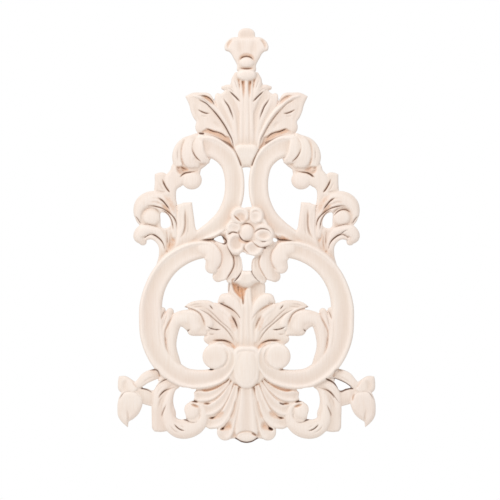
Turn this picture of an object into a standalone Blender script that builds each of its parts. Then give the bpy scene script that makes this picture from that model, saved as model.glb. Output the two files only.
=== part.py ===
"""Carved wood onlay: a pierced spray of scrolls, acanthus leaves and a shell, cut from one board.

The onlay stands upright with its flat back on the plane y = 0 and its relief towards -Y.
The origin is on the back, behind the flower. The left and right halves mirror each other,
apart from the flower, whose petals are cut freehand.

Every form is either a stroke, a ribbon of relief that follows a smooth line, or a boss, a round
or oval swelling. Each one is a closed solid that reaches a little behind the board, a union
joins them all, and one flat cut leaves the back.
"""

import math
from typing import NamedTuple

import bmesh
import bpy
import numpy as np

MM = 0.001

BACK_EXCESS = 3.0
PLANE_WIDTH = 400.0
PLANE_HEIGHT = 400.0
PLANE_CENTRE_UP = 0.0
PLANE_THICKNESS = 20.0

# How closely the facets follow a stroke's smooth line.
TOLERANCE = 0.95
FINE_SAMPLES = 12

# An edge lies lower than the crest by a share of the half width, within these bounds.
EDGE_FALL = 0.85
LEAST_FALL = 1.2
MOST_FALL = 3.0
NARROW = 4.3

# A rounded tip is closed by sections that reach out, and narrow, by these shares of the half width.
BLUNT_TIP = ((0.45, 0.86), (0.80, 0.50))
SHORT_TIP = ((0.65, 0.62),)
TIP_FALL = 0.5

# A boss: sides of its outline, then where its crown starts and where its middle or bowl begins.
BOSS_SIDES = 12
SHOULDER_SHARE = 0.78
SHOULDER_FALL = 0.28
BOWL_SHARE = 0.45
BOWL_DEPTH = 0.7

# Faces that lie this close to one plane become one face.
LEVEL_ANGLE = math.radians(5)

WOOD_COLOUR = (0.84, 0.72, 0.61, 1.0)
WOOD_ROUGHNESS = 0.62

# Sections: (place across, from the inner edge at -1 to the outer edge at 1; share of the fall).
LOBE = ((-1.0, 1.0), (-0.5, 0.22), (0.0, 0.0), (0.5, 0.22), (1.0, 1.0))
SLIM = ((-1.0, 1.0), (0.0, 0.0), (1.0, 1.0))
BAND = ((-1.0, 0.9), (-0.72, 0.35), (0.58, 0.5), (0.8, 0.0), (1.0, 0.35))
FLUTE = ((-1.0, 0.9), (-0.72, 0.0), (0.0, 0.75), (0.72, 0.0), (1.0, 0.9))
HOLLOW = ((-1.0, 0.0), (-0.45, 0.8), (0.0, 1.0), (0.45, 0.8), (1.0, 0.0))

START, END, BOTH, NEITHER = "start", "end", "both", "neither"


class Stroke(NamedTuple):
    """A ribbon of relief: its section, its rounded ends, and its stations.

    A station is (out from the centre line, up from the origin, half width, height of the crest
    above the back), in millimetres.
    """

    section: tuple
    rounded: str
    stations: tuple


class Boss(NamedTuple):
    """A round or oval swelling, in millimetres: centre, half sizes, crest, hollow and edge fall."""

    out: float
    up: float
    half_width: float
    half_height: float
    crest: float
    hollow: float
    fall: float
    turn: float = 0.0


# ---- Strokes on the centre line

SPINES = (
    # low ground behind the upper leaf, the lower leaf and the shell
    Stroke(LOBE, NEITHER, ((0, 50, 6.5, 7), (0, 62, 9, 7), (0, 76, 13, 7.5), (0, 88, 16, 7.5),
                           (0, 97, 12.5, 7.5), (0, 108, 7.5, 7.5))),
    Stroke(LOBE, NEITHER, ((0, -45, 7, 7), (0, -55, 12, 7), (0, -68, 12.5, 7), (0, -86, 12, 7))),
    Stroke(LOBE, NEITHER, ((0, -98, 12, 6.5), (0, -109, 29, 6), (0, -116, 29, 5.5), (0, -126, 26, 5.5),
                           (0, -139, 17, 5.5))),
    # upper leaf spine, keystone below it
    Stroke(LOBE, NEITHER, ((0, 61, 6.5, 10.5), (0, 78, 6, 10.5), (0, 101, 4, 9.5), (0, 113, 3.5, 9))),
    Stroke(LOBE, BOTH, ((0, 63, 6, 10.5), (0, 58, 6.5, 12), (0, 53, 5.5, 11.5), (0, 49, 4, 10))),
    # lily bud and its neck
    Stroke(LOBE, START, ((0, 143, 6.2, 6.5), (0, 136, 7.5, 7.5), (0, 130, 7, 8.5), (0, 122, 4.5, 9))),
    Stroke(LOBE, NEITHER, ((0, 126, 5, 8.6), (0, 110, 5, 8.6))),
    # hollow stem and lower leaf spine
    Stroke(HOLLOW, NEITHER, ((0, -34, 13, 7.5), (0, -42, 13, 7.5), (0, -50, 11, 7.5))),
    Stroke(LOBE, NEITHER, ((0, -84, 6.5, 10.5), (0, -66, 5, 10), (0, -52, 4, 9), (0, -38, 2.4, 8.2))),
    # border of the cabochon
    Stroke(FLUTE, BOTH, ((0, -85, 9, 12.5), (0, -95, 10.4, 13), (0, -103, 7.5, 12.5))),
    # middle flute of the shell
    Stroke(FLUTE, END, ((0, -106, 4.3, 12), (0, -121, 5.5, 11.4), (0, -137, 7.6, 10.6), (0, -142, 8, 10))),
)

# ---- Strokes of one half

TOP_LEAF = (
    # four blades, from the collar outwards
    Stroke(LOBE, START, ((7, 113, 2.3, 8), (8, 108, 3, 9), (6.5, 101, 3.4, 9), (3, 86, 1.8, 9))),
    Stroke(LOBE, START, ((16, 104.5, 2, 7), (12, 102.5, 2.7, 8.2), (7.5, 99, 2.7, 9), (3.5, 88, 1.8, 9))),
    Stroke(LOBE, START, ((17, 102.5, 2, 6.8), (11, 96, 3.2, 8.2), (6.5, 84, 3.1, 9.2),
                         (4.5, 71, 2.2, 9.6))),
    Stroke(LOBE, START, ((21, 99.5, 2.8, 6.4), (16, 91.5, 4.6, 7.8), (10.5, 79, 4, 9), (6, 60, 1.5, 9.6))),
    # the big leaf: its ground, its rolled top edge, the blade above the midrib and the lobes below it
    Stroke(LOBE, NEITHER, ((41, 97, 2, 6), (34, 90, 7, 6.5), (24, 81.5, 9, 7), (16, 71.5, 7, 7),
                           (9, 61, 3.5, 7))),
    Stroke(LOBE, NEITHER, ((43, 98.5, 0.6, 7.5), (37, 99, 1.7, 8.6), (30, 98, 1.9, 8.8), (23, 92, 1, 8))),
    Stroke(LOBE, NEITHER, ((41, 98, 0.8, 7), (31, 94.5, 2.9, 8.4), (22, 87, 3.3, 9.2), (15, 76, 2.8, 9.6),
                           (9, 62, 1.6, 9.6))),
    Stroke(LOBE, NEITHER, ((43, 97, 1, 6.6), (38, 92.5, 4.2, 7.8), (25.5, 84.5, 3.8, 8.6),
                           (13.5, 67.5, 1.9, 8.8))),
    Stroke(LOBE, START, ((36.5, 85.5, 3.5, 6.6), (28, 81.5, 4, 7.8), (19, 75, 3.2, 8.2),
                         (13.5, 67, 2.2, 8.4))),
    Stroke(LOBE, START, ((34, 76.5, 3.6, 6), (26, 75.5, 4.2, 7.3), (17.5, 71, 3.2, 7.6),
                         (12.5, 65, 1.7, 8))),
    # petal of the lily bud
    Stroke(LOBE, START, ((15, 133.5, 1.9, 6.6), (12.5, 136.5, 3.2, 8.4), (8, 136, 4.6, 9.2),
                         (4.5, 129, 4.2, 9), (1.8, 121.5, 2.6, 8.8))),
)

UPPER_SCROLL = (
    Stroke(BAND, NEITHER, ((31.5, 62, 7.4, 10.4), (25.5, 62, 7.4, 10.6), (18.5, 58.5, 7.3, 10.6),
                           (12.5, 52, 7.1, 10.6), (9.5, 44, 7, 10.6), (8.5, 34, 7, 10.6),
                           (10, 23, 7.2, 10.6), (15.5, 11, 7.2, 10.4), (23.5, 3.5, 6, 10),
                           (31.5, -0.8, 4.7, 9.4), (41, -7.2, 3, 8.6))),
    # three folds wrapped round the scroll's end
    Stroke(LOBE, BOTH, ((31.5, 68, 2.8, 10.2), (35, 61, 4.6, 11.8), (32.5, 54, 4.4, 11.4),
                        (29.5, 51, 2.9, 10))),
    Stroke(LOBE, BOTH, ((38.5, 68, 2.8, 9.4), (43, 59, 4.9, 11.4), (41, 51.5, 4.8, 11),
                        (38, 48.5, 3.6, 9.6))),
    Stroke(LOBE, BOTH, ((44, 67, 2.6, 8.4), (49.5, 58, 3.8, 10), (48.5, 50.5, 3.6, 9.8),
                        (46.5, 46.5, 2.6, 8.6))),
)

SIDE_LEAF = (
    # neck from the folds to the upright lobe, and the small blade beside it
    Stroke(LOBE, NEITHER, ((44, 46, 4.8, 8), (49.5, 40.5, 5.8, 8.6), (54, 34, 4.2, 8.4),
                           (52, 18, 2.4, 7.6))),
    Stroke(LOBE, START, ((62, 42.5, 3, 6.6), (61, 36, 4.4, 7.8), (56, 25, 3, 7.8))),
    # crescent leaf: outer, middle and inner turns
    Stroke(LOBE, NEITHER, ((49.5, 15, 1.4, 8.4), (55, 23.5, 2.7, 9.6), (62, 27, 3.4, 10),
                           (69, 25.5, 4.1, 10), (75, 20.5, 4.8, 9.6), (77, 13, 4.2, 8.6),
                           (75.5, 5.5, 1.6, 7))),
    Stroke(LOBE, NEITHER, ((49.5, 3, 1.4, 8), (52, 14, 2.5, 9), (57, 19.5, 2.8, 9.4), (65, 21.5, 2.6, 9.2),
                           (74, 18, 1.4, 8.2))),
    Stroke(LOBE, NEITHER, ((51, -5, 1.8, 7.6), (52, 5, 2, 8), (56, 13.5, 2.3, 8.4), (66, 17, 2.2, 8.2),
                           (73, 14, 2.2, 7.2))),
    # curl below it and the blade at its root
    Stroke(LOBE, START, ((75.5, -6, 2.9, 7.6), (76.8, -2, 4, 9.2), (73, 1.8, 4.6, 9.6),
                         (65, -0.5, 4.6, 9.1), (59.5, -16, 3.6, 7.8))),
    Stroke(LOBE, START, ((56.5, 0.5, 3.6, 6), (56, -6, 4.2, 7.2), (55.5, -17, 3, 7.6))),
    # upright lobe in two blades
    Stroke(LOBE, START, ((48, 19, 3, 7), (47.5, 8, 3.4, 8.4), (49.5, -6, 3, 8.2), (53.5, -14, 2.4, 7.8))),
    Stroke(LOBE, START, ((42.2, 20, 2.9, 7.2), (41.5, 8, 3.5, 8.8), (42.5, -5, 4.3, 8.8),
                         (48, -13, 3.2, 8.2))),
)

LOWER_SCROLL = (
    Stroke(BAND, NEITHER, ((25, -81, 1.3, 11.2), (18.5, -80, 1.7, 11.8), (13, -83, 2, 12),
                           (10.5, -89, 2.6, 12), (12.5, -96, 4, 11.8), (18, -101.5, 5.5, 11.4),
                           (26, -104.5, 6.3, 11), (35, -105.5, 6.6, 10.8), (44.5, -104, 7, 10.8),
                           (53, -99.5, 7.5, 10.8), (60, -92.5, 8, 10.8), (65, -83.5, 8.4, 10.8),
                           (68, -73.5, 8.8, 10.8), (69, -62.5, 8.7, 10.8), (69, -52, 8.5, 10.8),
                           (66, -41, 8.3, 10.8), (61.5, -31.5, 8.1, 10.8), (55, -23.5, 7.9, 10.8),
                           (47, -17.5, 7.3, 10.8), (39, -13.5, 6.6, 10.6), (31.5, -12, 6, 10.6),
                           (24, -11.5, 5.5, 10.6))),
    # rolled end and the two folds beside it
    Stroke(LOBE, END, ((31.5, -12, 5.8, 10.6), (25.5, -14, 6, 11.6), (23.5, -19, 6, 12),
                       (24, -24.5, 5, 10.6))),
    Stroke(LOBE, BOTH, ((19.5, -7.5, 2.6, 10), (15, -12, 4.2, 11.4), (13, -19, 4.6, 11.8),
                        (16.5, -28.5, 4.6, 11), (21.5, -32.5, 4, 9.4))),
    Stroke(LOBE, BOTH, ((10.5, -12.5, 2, 9.4), (7, -19, 3, 10.6), (6.2, -25, 3, 10.6),
                        (8.5, -31, 3.2, 10.2), (12.5, -34.5, 2.8, 9))),
    # inner scroll and the fold between it and the band
    Stroke(LOBE, END, ((51, -95, 5, 9.6), (54, -82, 4.3, 9.8), (53.5, -69, 4.5, 10), (51, -63, 5, 10.4),
                       (45.5, -60.5, 5.3, 10.8), (39.5, -62, 5.7, 11.2), (37.5, -66, 5.6, 11),
                       (39.5, -70.5, 4, 9.6))),
    Stroke(LOBE, START, ((57, -56.5, 3.4, 8.2), (59.5, -63.5, 3.2, 9.8), (60, -77, 1.4, 9.8))),
)

LOWER_LEAF = (
    # ground, then the blades from the stem outwards and down
    Stroke(LOBE, NEITHER, ((40, -54, 2, 6), (31, -58.5, 6, 6.5), (22, -66, 9, 7), (14, -74, 8, 7),
                           (6, -84, 4, 7))),
    Stroke(LOBE, START, ((18.5, -47.5, 3, 8.6), (12, -48.5, 3.9, 10.2), (6, -54.5, 3.6, 10.4),
                         (3, -72.5, 1.4, 10))),
    Stroke(LOBE, START, ((25, -51.5, 2.6, 7.4), (18, -56, 3.9, 8.8), (10.5, -63, 3.9, 9.6),
                         (6, -75.5, 2, 9.8))),
    Stroke(LOBE, NEITHER, ((43, -53, 0.8, 7.6), (34, -51.8, 2.8, 8.6), (25, -55.5, 3.6, 9),
                           (14.5, -67, 3.3, 9.4), (7, -81.5, 1.3, 9.8))),
    Stroke(LOBE, NEITHER, ((39, -56, 1.2, 7.8), (28, -60.5, 3.4, 8.3), (18.5, -70, 3.4, 8.6),
                           (12, -79, 2, 9))),
    Stroke(LOBE, START, ((30, -70, 3.2, 6.6), (22, -71.5, 3.2, 7.9), (11.5, -79, 1.8, 8.8))),
    Stroke(LOBE, START, ((30, -76, 2.6, 5.8), (20, -76.5, 2.8, 7.2), (11, -81, 2, 8.4))),
)

SHELL = (
    # flutes from the middle outwards
    Stroke(LOBE, END, ((4.5, -109.5, 1.4, 11.8), (7, -121, 2.9, 11.4), (10.5, -131, 4.3, 10.8),
                       (14.5, -141, 6, 9.6), (15.5, -144.5, 5.4, 8.4))),
    Stroke(LOBE, END, ((7, -108.5, 1.4, 11.6), (13, -124, 3, 11), (21, -134, 4.4, 9.8),
                       (25.5, -138, 4, 8.2))),
    Stroke(LOBE, END, ((8.5, -107.5, 1.4, 11.4), (17, -120, 2.9, 10.8), (27, -127, 4.3, 10),
                       (31.5, -128.5, 4, 8.8))),
    Stroke(LOBE, END, ((10, -105, 1.4, 11.2), (19.5, -115, 2.9, 10.6), (30, -118, 4, 9.8),
                       (35.5, -117.5, 3.8, 8.4))),
)

FOOT = (
    # leaf on the outer side of the foot scroll
    Stroke(LOBE, NEITHER, ((53, -104, 3, 7.6), (59.5, -108, 3.2, 8), (65, -117, 2.8, 7.3),
                           (67.5, -123.5, 1.4, 6.6))),
    Stroke(LOBE, START, ((64.2, -138.5, 4.2, 6.4), (63, -130, 4.7, 8), (60, -118.5, 4, 8.4),
                         (51, -107.5, 3, 8))),
    # foot scroll
    Stroke(LOBE, NEITHER, ((48, -107.5, 3, 8.6), (53, -114, 2.7, 8.6), (56, -121.5, 2.9, 8.8),
                           (56.5, -129.5, 3.9, 9), (54.5, -137, 4.8, 9.2), (49.5, -141, 5.3, 9.4),
                           (43, -142, 5.5, 9.6), (36.5, -139.5, 5.2, 9.8), (32, -134, 4, 9.8),
                           (31.5, -127.5, 2.6, 9.8), (34.5, -123.5, 1.8, 9.6), (40, -122.5, 1.3, 9))),
    # stalk, blade, cap and body of the bud
    Stroke(LOBE, NEITHER, ((62.5, -120, 5, 6.8), (69, -118.5, 4.8, 7.2), (75, -116.5, 4.3, 7.4),
                           (82, -114, 2.4, 7.2))),
    Stroke(LOBE, NEITHER, ((58, -99, 3.3, 7.2), (65, -101, 3.5, 7.6), (71, -104, 3.7, 7.8),
                           (82, -112.5, 2.2, 7.6))),
    Stroke(LOBE, START, ((89.8, -106.8, 3.8, 6.8), (87, -109.5, 5.4, 8.4), (83.5, -113.5, 5.5, 9))),
    Stroke(LOBE, START, ((82.8, -117, 7, 8.6), (84, -123.5, 8.9, 10.4), (85, -131, 6.4, 9.6),
                         (86, -138.7, 0.7, 6.6))),
)

HALF = TOP_LEAF + UPPER_SCROLL + SIDE_LEAF + LOWER_SCROLL + LOWER_LEAF + SHELL + FOOT

# ---- Bosses

HALF_BOSSES = (
    Boss(40, 58.5, 10, 9.5, 8.0, 0.0, 1.0),
    Boss(39.8, 39.2, 7, 6.8, 9.6, 0.0, 3.0),
    Boss(68.7, 11.3, 6.8, 5.6, 9.4, 0.0, 3.0),
    Boss(21.8, -89, 9.6, 9.2, 12.6, 0.5, 1.6),
    Boss(38.8, -129, 6.2, 6.7, 10.4, 0.0, 3.0),
)
MIDDLE_BOSSES = (
    Boss(0, 122.5, 4.7, 4.3, 11, 0.0, 3.0),
    Boss(0, 114.5, 6.5, 4, 11.6, 0.0, 3.0),
    Boss(0, -33.5, 8.5, 5.8, 12.2, 0.0, 3.0),
    Boss(0, -97, 6.5, 11, 15, 0.0, 3.6),
    Boss(0, -147.2, 8.5, 4.4, 10.4, 0.0, 3.0),
)

# ---- Flower: an eye and cupped petals, the angles measured anticlockwise from +X

FLOWER_X = 0.7
FLOWER_UP = 1.0
EYE_RADIUS = 5.4
EYE_HEIGHT = 15.5
EYE_FALL = 3.0
PETAL_ANGLES = (60, 117, 165, 222, 285, 343)
PETAL_LENGTHS = (6.4, 6.8, 5.6, 7.2, 6.4, 7.0)
PETAL_WIDTHS = (6.4, 6.4, 5.2, 6.8, 6.2, 6.8)
PETAL_MIDDLE = 11.4
PETAL_HEIGHT = 13.6
PETAL_HOLLOW = 1.8
PETAL_FALL = 2.2
BED_RADIUS = 16.0
BED_HEIGHT = 8.0
BED_FALL = 1.0


def spline_point(before, start, end, after, share):
    """The point a share of the way along a Catmull-Rom span, for stations of any length."""
    linear = (end - before) / 2
    square = before - 2.5 * start + 2 * end - after / 2
    cube = (after - before) / 2 + 1.5 * (start - end)
    return ((cube * share + square) * share + linear) * share + start


def fine_stations(stations):
    """Many stations along the smooth line through the given ones."""
    knots = np.array(stations, dtype=float)
    padded = np.vstack([2 * knots[0] - knots[1], knots, 2 * knots[-1] - knots[-2]])
    fine = []
    for span in range(len(knots) - 1):
        for step in range(FINE_SAMPLES):
            fine.append(spline_point(*padded[span:span + 4], step / FINE_SAMPLES))
    fine.append(knots[-1])
    return np.array(fine)


def thinned(fine):
    """The fewest stations whose straight spans stay within the tolerance of the smooth line."""
    span = fine[-1] - fine[0]
    shares = np.linspace(0.0, 1.0, len(fine))[:, None]
    if len(fine) > 2:
        along = np.cumsum(np.r_[0.0, np.linalg.norm(np.diff(fine, axis=0), axis=1)])
        shares = (along / along[-1])[:, None]
    deviation = np.linalg.norm(fine - (fine[0] + span * shares), axis=1)
    farthest = int(deviation.argmax())
    if deviation[farthest] <= TOLERANCE or len(fine) < 3:
        return fine[[0, -1]]
    return np.vstack([thinned(fine[:farthest + 1])[:-1], thinned(fine[farthest:])])


def with_tip(stations, at_start):
    """The stations with a rounded tip added beyond one end."""
    ordered = stations if at_start else stations[::-1]
    last = ordered[0]
    outward = last[:2] - ordered[1][:2]
    outward /= np.hypot(*outward)
    tip = []
    for reach, share in SHORT_TIP if last[2] < NARROW else BLUNT_TIP:
        place = last[:2] + outward * last[2] * reach
        height = last[3] - TIP_FALL * reach * last[2]
        tip.insert(0, np.array([*place, last[2] * share, height]))
    ordered = np.vstack([tip, ordered])
    return ordered if at_start else ordered[::-1]


def station_directions(stations):
    """The unit direction of the line at each station."""
    steps = np.diff(stations[:, :2], axis=0)
    steps /= np.linalg.norm(steps, axis=1)[:, None]
    directions = np.vstack([steps[0], steps[:-1] + steps[1:], steps[-1]])
    return directions / np.linalg.norm(directions, axis=1)[:, None]


def add_ring(bm, points, side):
    """Vertices at (out, up, height) points, on the given side of the centre line."""
    return [bm.verts.new((side * out * MM, -height * MM, up * MM)) for out, up, height in points]


def bridge(bm, rings, side):
    """Walls between neighbouring rings, and a cap on each end."""
    for near, far in zip(rings, rings[1:]):
        for index in range(len(near)):
            following = (index + 1) % len(near)
            bm.faces.new((near[index], near[following], far[following], far[index])[::side])
    bm.faces.new(rings[0][::-side])
    bm.faces.new(rings[-1][::side])


def add_stroke(bm, stroke, side):
    """One stroke as a closed solid, cut off square behind the board."""
    stations = thinned(fine_stations(stroke.stations))
    if stroke.rounded in (START, BOTH):
        stations = with_tip(stations, at_start=True)
    if stroke.rounded in (END, BOTH):
        stations = with_tip(stations, at_start=False)
    widest = stations[:, 2].max()
    section = SLIM if stroke.section is LOBE and widest < NARROW else stroke.section
    rings = []
    for (out, up, half_width, height), (run, rise) in zip(stations, station_directions(stations)):
        fall = min(max(EDGE_FALL * half_width, LEAST_FALL), MOST_FALL)
        outer = np.array([rise, -run]) * half_width
        profile = [(place, height - share * fall) for place, share in section]
        profile = [(-1.0, -BACK_EXCESS), *profile, (1.0, -BACK_EXCESS)]
        points = [(out + outer[0] * place, up + outer[1] * place, level) for place, level in profile]
        rings.append(add_ring(bm, points, side))
    bridge(bm, rings, side)


def add_boss(bm, boss, side):
    """One boss as a closed solid: rings from the back up the wall and over the crown."""
    rings = []
    levels = (
        (1.0, -BACK_EXCESS),
        (1.0, boss.crest - boss.fall),
        (SHOULDER_SHARE, boss.crest - SHOULDER_FALL * boss.fall),
        (BOWL_SHARE, boss.crest - BOWL_DEPTH * boss.hollow),
    )
    turn = math.radians(boss.turn)
    for share, level in levels:
        points = []
        for corner in range(BOSS_SIDES):
            angle = -math.tau * corner / BOSS_SIDES
            across = boss.half_width * share * math.cos(angle)
            along = boss.half_height * share * math.sin(angle)
            out = boss.out + across * math.cos(turn) - along * math.sin(turn)
            up = boss.up + across * math.sin(turn) + along * math.cos(turn)
            points.append((out, up, level))
        rings.append(add_ring(bm, points, side))
    bridge(bm, rings, side)


def flower():
    """The bosses of the flower: a bed, six cupped petals and the eye."""
    bosses = [Boss(FLOWER_X, FLOWER_UP, BED_RADIUS, BED_RADIUS, BED_HEIGHT, 0.0, BED_FALL)]
    for angle, length, width in zip(PETAL_ANGLES, PETAL_LENGTHS, PETAL_WIDTHS):
        out = FLOWER_X + PETAL_MIDDLE * math.cos(math.radians(angle))
        up = FLOWER_UP + PETAL_MIDDLE * math.sin(math.radians(angle))
        bosses.append(Boss(out, up, length, width, PETAL_HEIGHT, PETAL_HOLLOW, PETAL_FALL, angle))
    bosses.append(Boss(FLOWER_X, FLOWER_UP, EYE_RADIUS, EYE_RADIUS, EYE_HEIGHT, 0.0, EYE_FALL))
    return bosses


def clear_scene():
    """Removes every object of the startup scene."""
    for obj in list(bpy.data.objects):
        bpy.data.objects.remove(obj)


def wood():
    """Bare pale wood."""
    material = bpy.data.materials.new("carved_wood")
    material.use_nodes = True
    shader = material.node_tree.nodes["Principled BSDF"]
    shader.inputs["Base Color"].default_value = WOOD_COLOUR
    shader.inputs["Roughness"].default_value = WOOD_ROUGHNESS
    shader.inputs["Metallic"].default_value = 0.0
    return material


def build_back_cutter():
    """The saw cut that leaves the flat back."""
    bm = bmesh.new()
    bmesh.ops.create_cube(bm, size=1.0)
    bmesh.ops.scale(bm, vec=(PLANE_WIDTH * MM, PLANE_THICKNESS * MM, PLANE_HEIGHT * MM), verts=bm.verts)
    bmesh.ops.translate(bm, vec=(0.0, PLANE_THICKNESS * MM / 2, PLANE_CENTRE_UP * MM), verts=bm.verts)
    mesh = bpy.data.meshes.new("back_cut")
    bm.to_mesh(mesh)
    bm.free()
    cutter = bpy.data.objects.new("back_cut", mesh)
    bpy.context.scene.collection.objects.link(cutter)
    cutter.hide_render = True
    cutter.display_type = "WIRE"
    return cutter


def build_onlay(cutter):
    """The onlay: every stroke and boss joined, and sawn flat at the back."""
    bm = bmesh.new()
    for stroke in SPINES:
        add_stroke(bm, stroke, 1)
    for boss in (*MIDDLE_BOSSES, *flower()):
        add_boss(bm, boss, 1)
    for side in (-1, 1):
        for stroke in HALF:
            add_stroke(bm, stroke, side)
        for boss in HALF_BOSSES:
            add_boss(bm, boss, side)
    bmesh.ops.recalc_face_normals(bm, faces=bm.faces)
    mesh = bpy.data.meshes.new("onlay")
    bm.to_mesh(mesh)
    bm.free()
    mesh.materials.append(wood())
    onlay = bpy.data.objects.new("onlay", mesh)
    bpy.context.scene.collection.objects.link(onlay)
    saw = onlay.modifiers.new("saw the back flat", "BOOLEAN")
    saw.operation = "DIFFERENCE"
    saw.solver = "EXACT"
    saw.use_self = True
    saw.object = cutter
    planing = onlay.modifiers.new("merge level faces", "DECIMATE")
    planing.decimate_type = "DISSOLVE"
    planing.angle_limit = LEVEL_ANGLE
    return onlay


clear_scene()
build_onlay(build_back_cutter())
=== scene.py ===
"""Looks of a carved wood onlay: a pierced spray of scrolls, acanthus leaves and a shell.

The onlay is one board. Its carving is worked on a fine grid of heights: every motif raises its
forms, cuts its own grooves, and is laid over what is already there; its cuts and hollows also
paint shade into the colour. The two halves mirror each other, apart from the flower with its
collar and stem, and a few grooves and areas of painted shade. The finished grid becomes one
closed mesh with a flat back.

Sizes are in millimetres of the full-size board, as (out from the centre line, up from the point
behind the flower), and are fitted to the box of the frame.
"""

import logging
import math
from abc import ABC, abstractmethod
from collections.abc import Iterable, Iterator
from contextlib import contextmanager
from dataclasses import dataclass, field
from enum import Enum
from typing import Any, ClassVar

import bpy
import numpy as np
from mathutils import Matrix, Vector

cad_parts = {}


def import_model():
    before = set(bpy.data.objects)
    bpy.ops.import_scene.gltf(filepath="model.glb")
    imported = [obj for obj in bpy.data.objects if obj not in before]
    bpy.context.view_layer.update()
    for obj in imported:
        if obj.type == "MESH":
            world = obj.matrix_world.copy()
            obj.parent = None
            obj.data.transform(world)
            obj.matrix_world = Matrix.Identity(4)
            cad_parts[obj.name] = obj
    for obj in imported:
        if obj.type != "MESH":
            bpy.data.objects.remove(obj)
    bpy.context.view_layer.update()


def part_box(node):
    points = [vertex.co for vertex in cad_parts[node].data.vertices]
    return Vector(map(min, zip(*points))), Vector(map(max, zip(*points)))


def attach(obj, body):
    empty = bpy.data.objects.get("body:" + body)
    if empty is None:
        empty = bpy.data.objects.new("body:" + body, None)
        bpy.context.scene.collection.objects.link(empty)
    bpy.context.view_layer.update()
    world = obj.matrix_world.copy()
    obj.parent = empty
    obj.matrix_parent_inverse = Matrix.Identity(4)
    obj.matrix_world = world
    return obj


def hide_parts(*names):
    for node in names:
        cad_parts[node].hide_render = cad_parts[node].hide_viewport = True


LOG = logging.getLogger("onlay")

NODE = "onlay"
PIECE = "carved_onlay"
BODY = "root"
SLOT = "carved_wood"

# The board at full size, and how far the grid runs past it.
FOOT_UP = -151.6
HEAD_UP = 148.0
HALF_WIDTH = 93.2
MARGIN = 2.0

# Spacing of the grid, of the points along a line, and of the places across a section.
PITCH = 0.42
LINE_STEP = 0.9
SECTION_STEP = 0.05
TINY = 1e-9

# How far round a form, an opening and a cut the grid is worked.
FORM_MARGIN = 5.0
HOLE_MARGIN = 4.0
CUT_MARGIN = 1.0

# A form's flank falls this steeply from its edge, per millimetre, down to where nothing is.
FLANK = 2.6
NOTHING = -60.0

# The fall of a band from crest to edge, as a share of its half width, and its limits.
EDGE_FALL = 0.42
LEAST_FALL = 0.8
MOST_FALL = 1.6

# Painted shade at the bottom of a cut that states none: from this depth on, over this range, up to
# this width. The last one is how closely all painted shade keeps to the bottom of a cut.
SHADE_FROM_DEPTH = 0.3
SHADE_DEPTH_RANGE = 1.8
WIDEST_SHADED_CUT = 1.5
SHADE_FOCUS = 1.6

# How a cut fades towards its ends, and the share of its width that is left there.
FADE_POWER = 0.7
END_WIDTH = 0.45

# Smallest values that something is divided by: a band's half width and the width left at its end,
# a knob's radius, a share of the wood, and the square of a slope.
LEAST_HALF = 0.05
LEAST_CAP = 0.02
LEAST_RADIUS = 1e-6
LEAST_SHARE = 1e-3
LEAST_STEEP = 0.25

# How often the border is moved towards the outline, how far inside the last grid line a place is
# held, in grid steps, and how far off the back a point of the back may be, in metres.
SNAP_ROUNDS = 3
GRID_SLACK = 1e-3
BACK_SLACK = 1e-5

Array = np.ndarray
Pair = tuple[Array, Array]
Triple = tuple[float, float, float]
Points = tuple[tuple[float, ...], ...]


class Section(Enum):
    """How a surface runs across a form.

    Each pair is (place across, share of the form's fall there). A section from 0 to 1 is the same
    on both sides; one from -1 to 1 runs from left to right as one walks along the form.
    """

    LOBE = ((0, 0), (0.4, 0.13), (0.75, 0.5), (1, 1))
    BAND = ((-1, 1), (-0.86, 0.5), (-0.66, 0.28), (-0.2, 0.42), (0.3, 0.5), (0.55, 0.34), (0.76, 0),
            (0.9, 0.14), (1, 0.7))
    LAP = ((-1, 1.15), (-0.7, 0.62), (-0.2, 0.3), (0.4, 0.12), (0.72, 0), (0.9, 0.1), (1, 0.5))
    FLUTE = ((0, 0.5), (0.4, 0.3), (0.68, 0), (0.84, 0.25), (1, 0.9))
    STEM = ((0, 0), (0.22, 0.1), (0.4, 0.55), (0.62, 0.15), (0.8, 0.3), (1, 1))
    DOME = ((0, 0), (0.35, 0.08), (0.7, 0.38), (1, 1))
    CUP = ((0, 0.8), (0.5, 0.45), (0.74, 0), (0.88, 0.15), (1, 0.9))
    DISC = ((0, 0), (0.5, 0.03), (0.75, 0.12), (0.9, 0.45), (1, 1))

    def share(self, place: Array) -> Array:
        """Share of the fall at each place across.

        Args:
            place: Triples across, from -1 to 1.

        Returns:
            The shares.
        """
        knots = self.value
        if knots[0][0] == 0:
            knots = tuple((-across, share) for across, share in knots[:0:-1]) + knots
        table = smooth_line(knots, step=SECTION_STEP)
        return np.interp(place, table[:, 0], table[:, 1])


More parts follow.
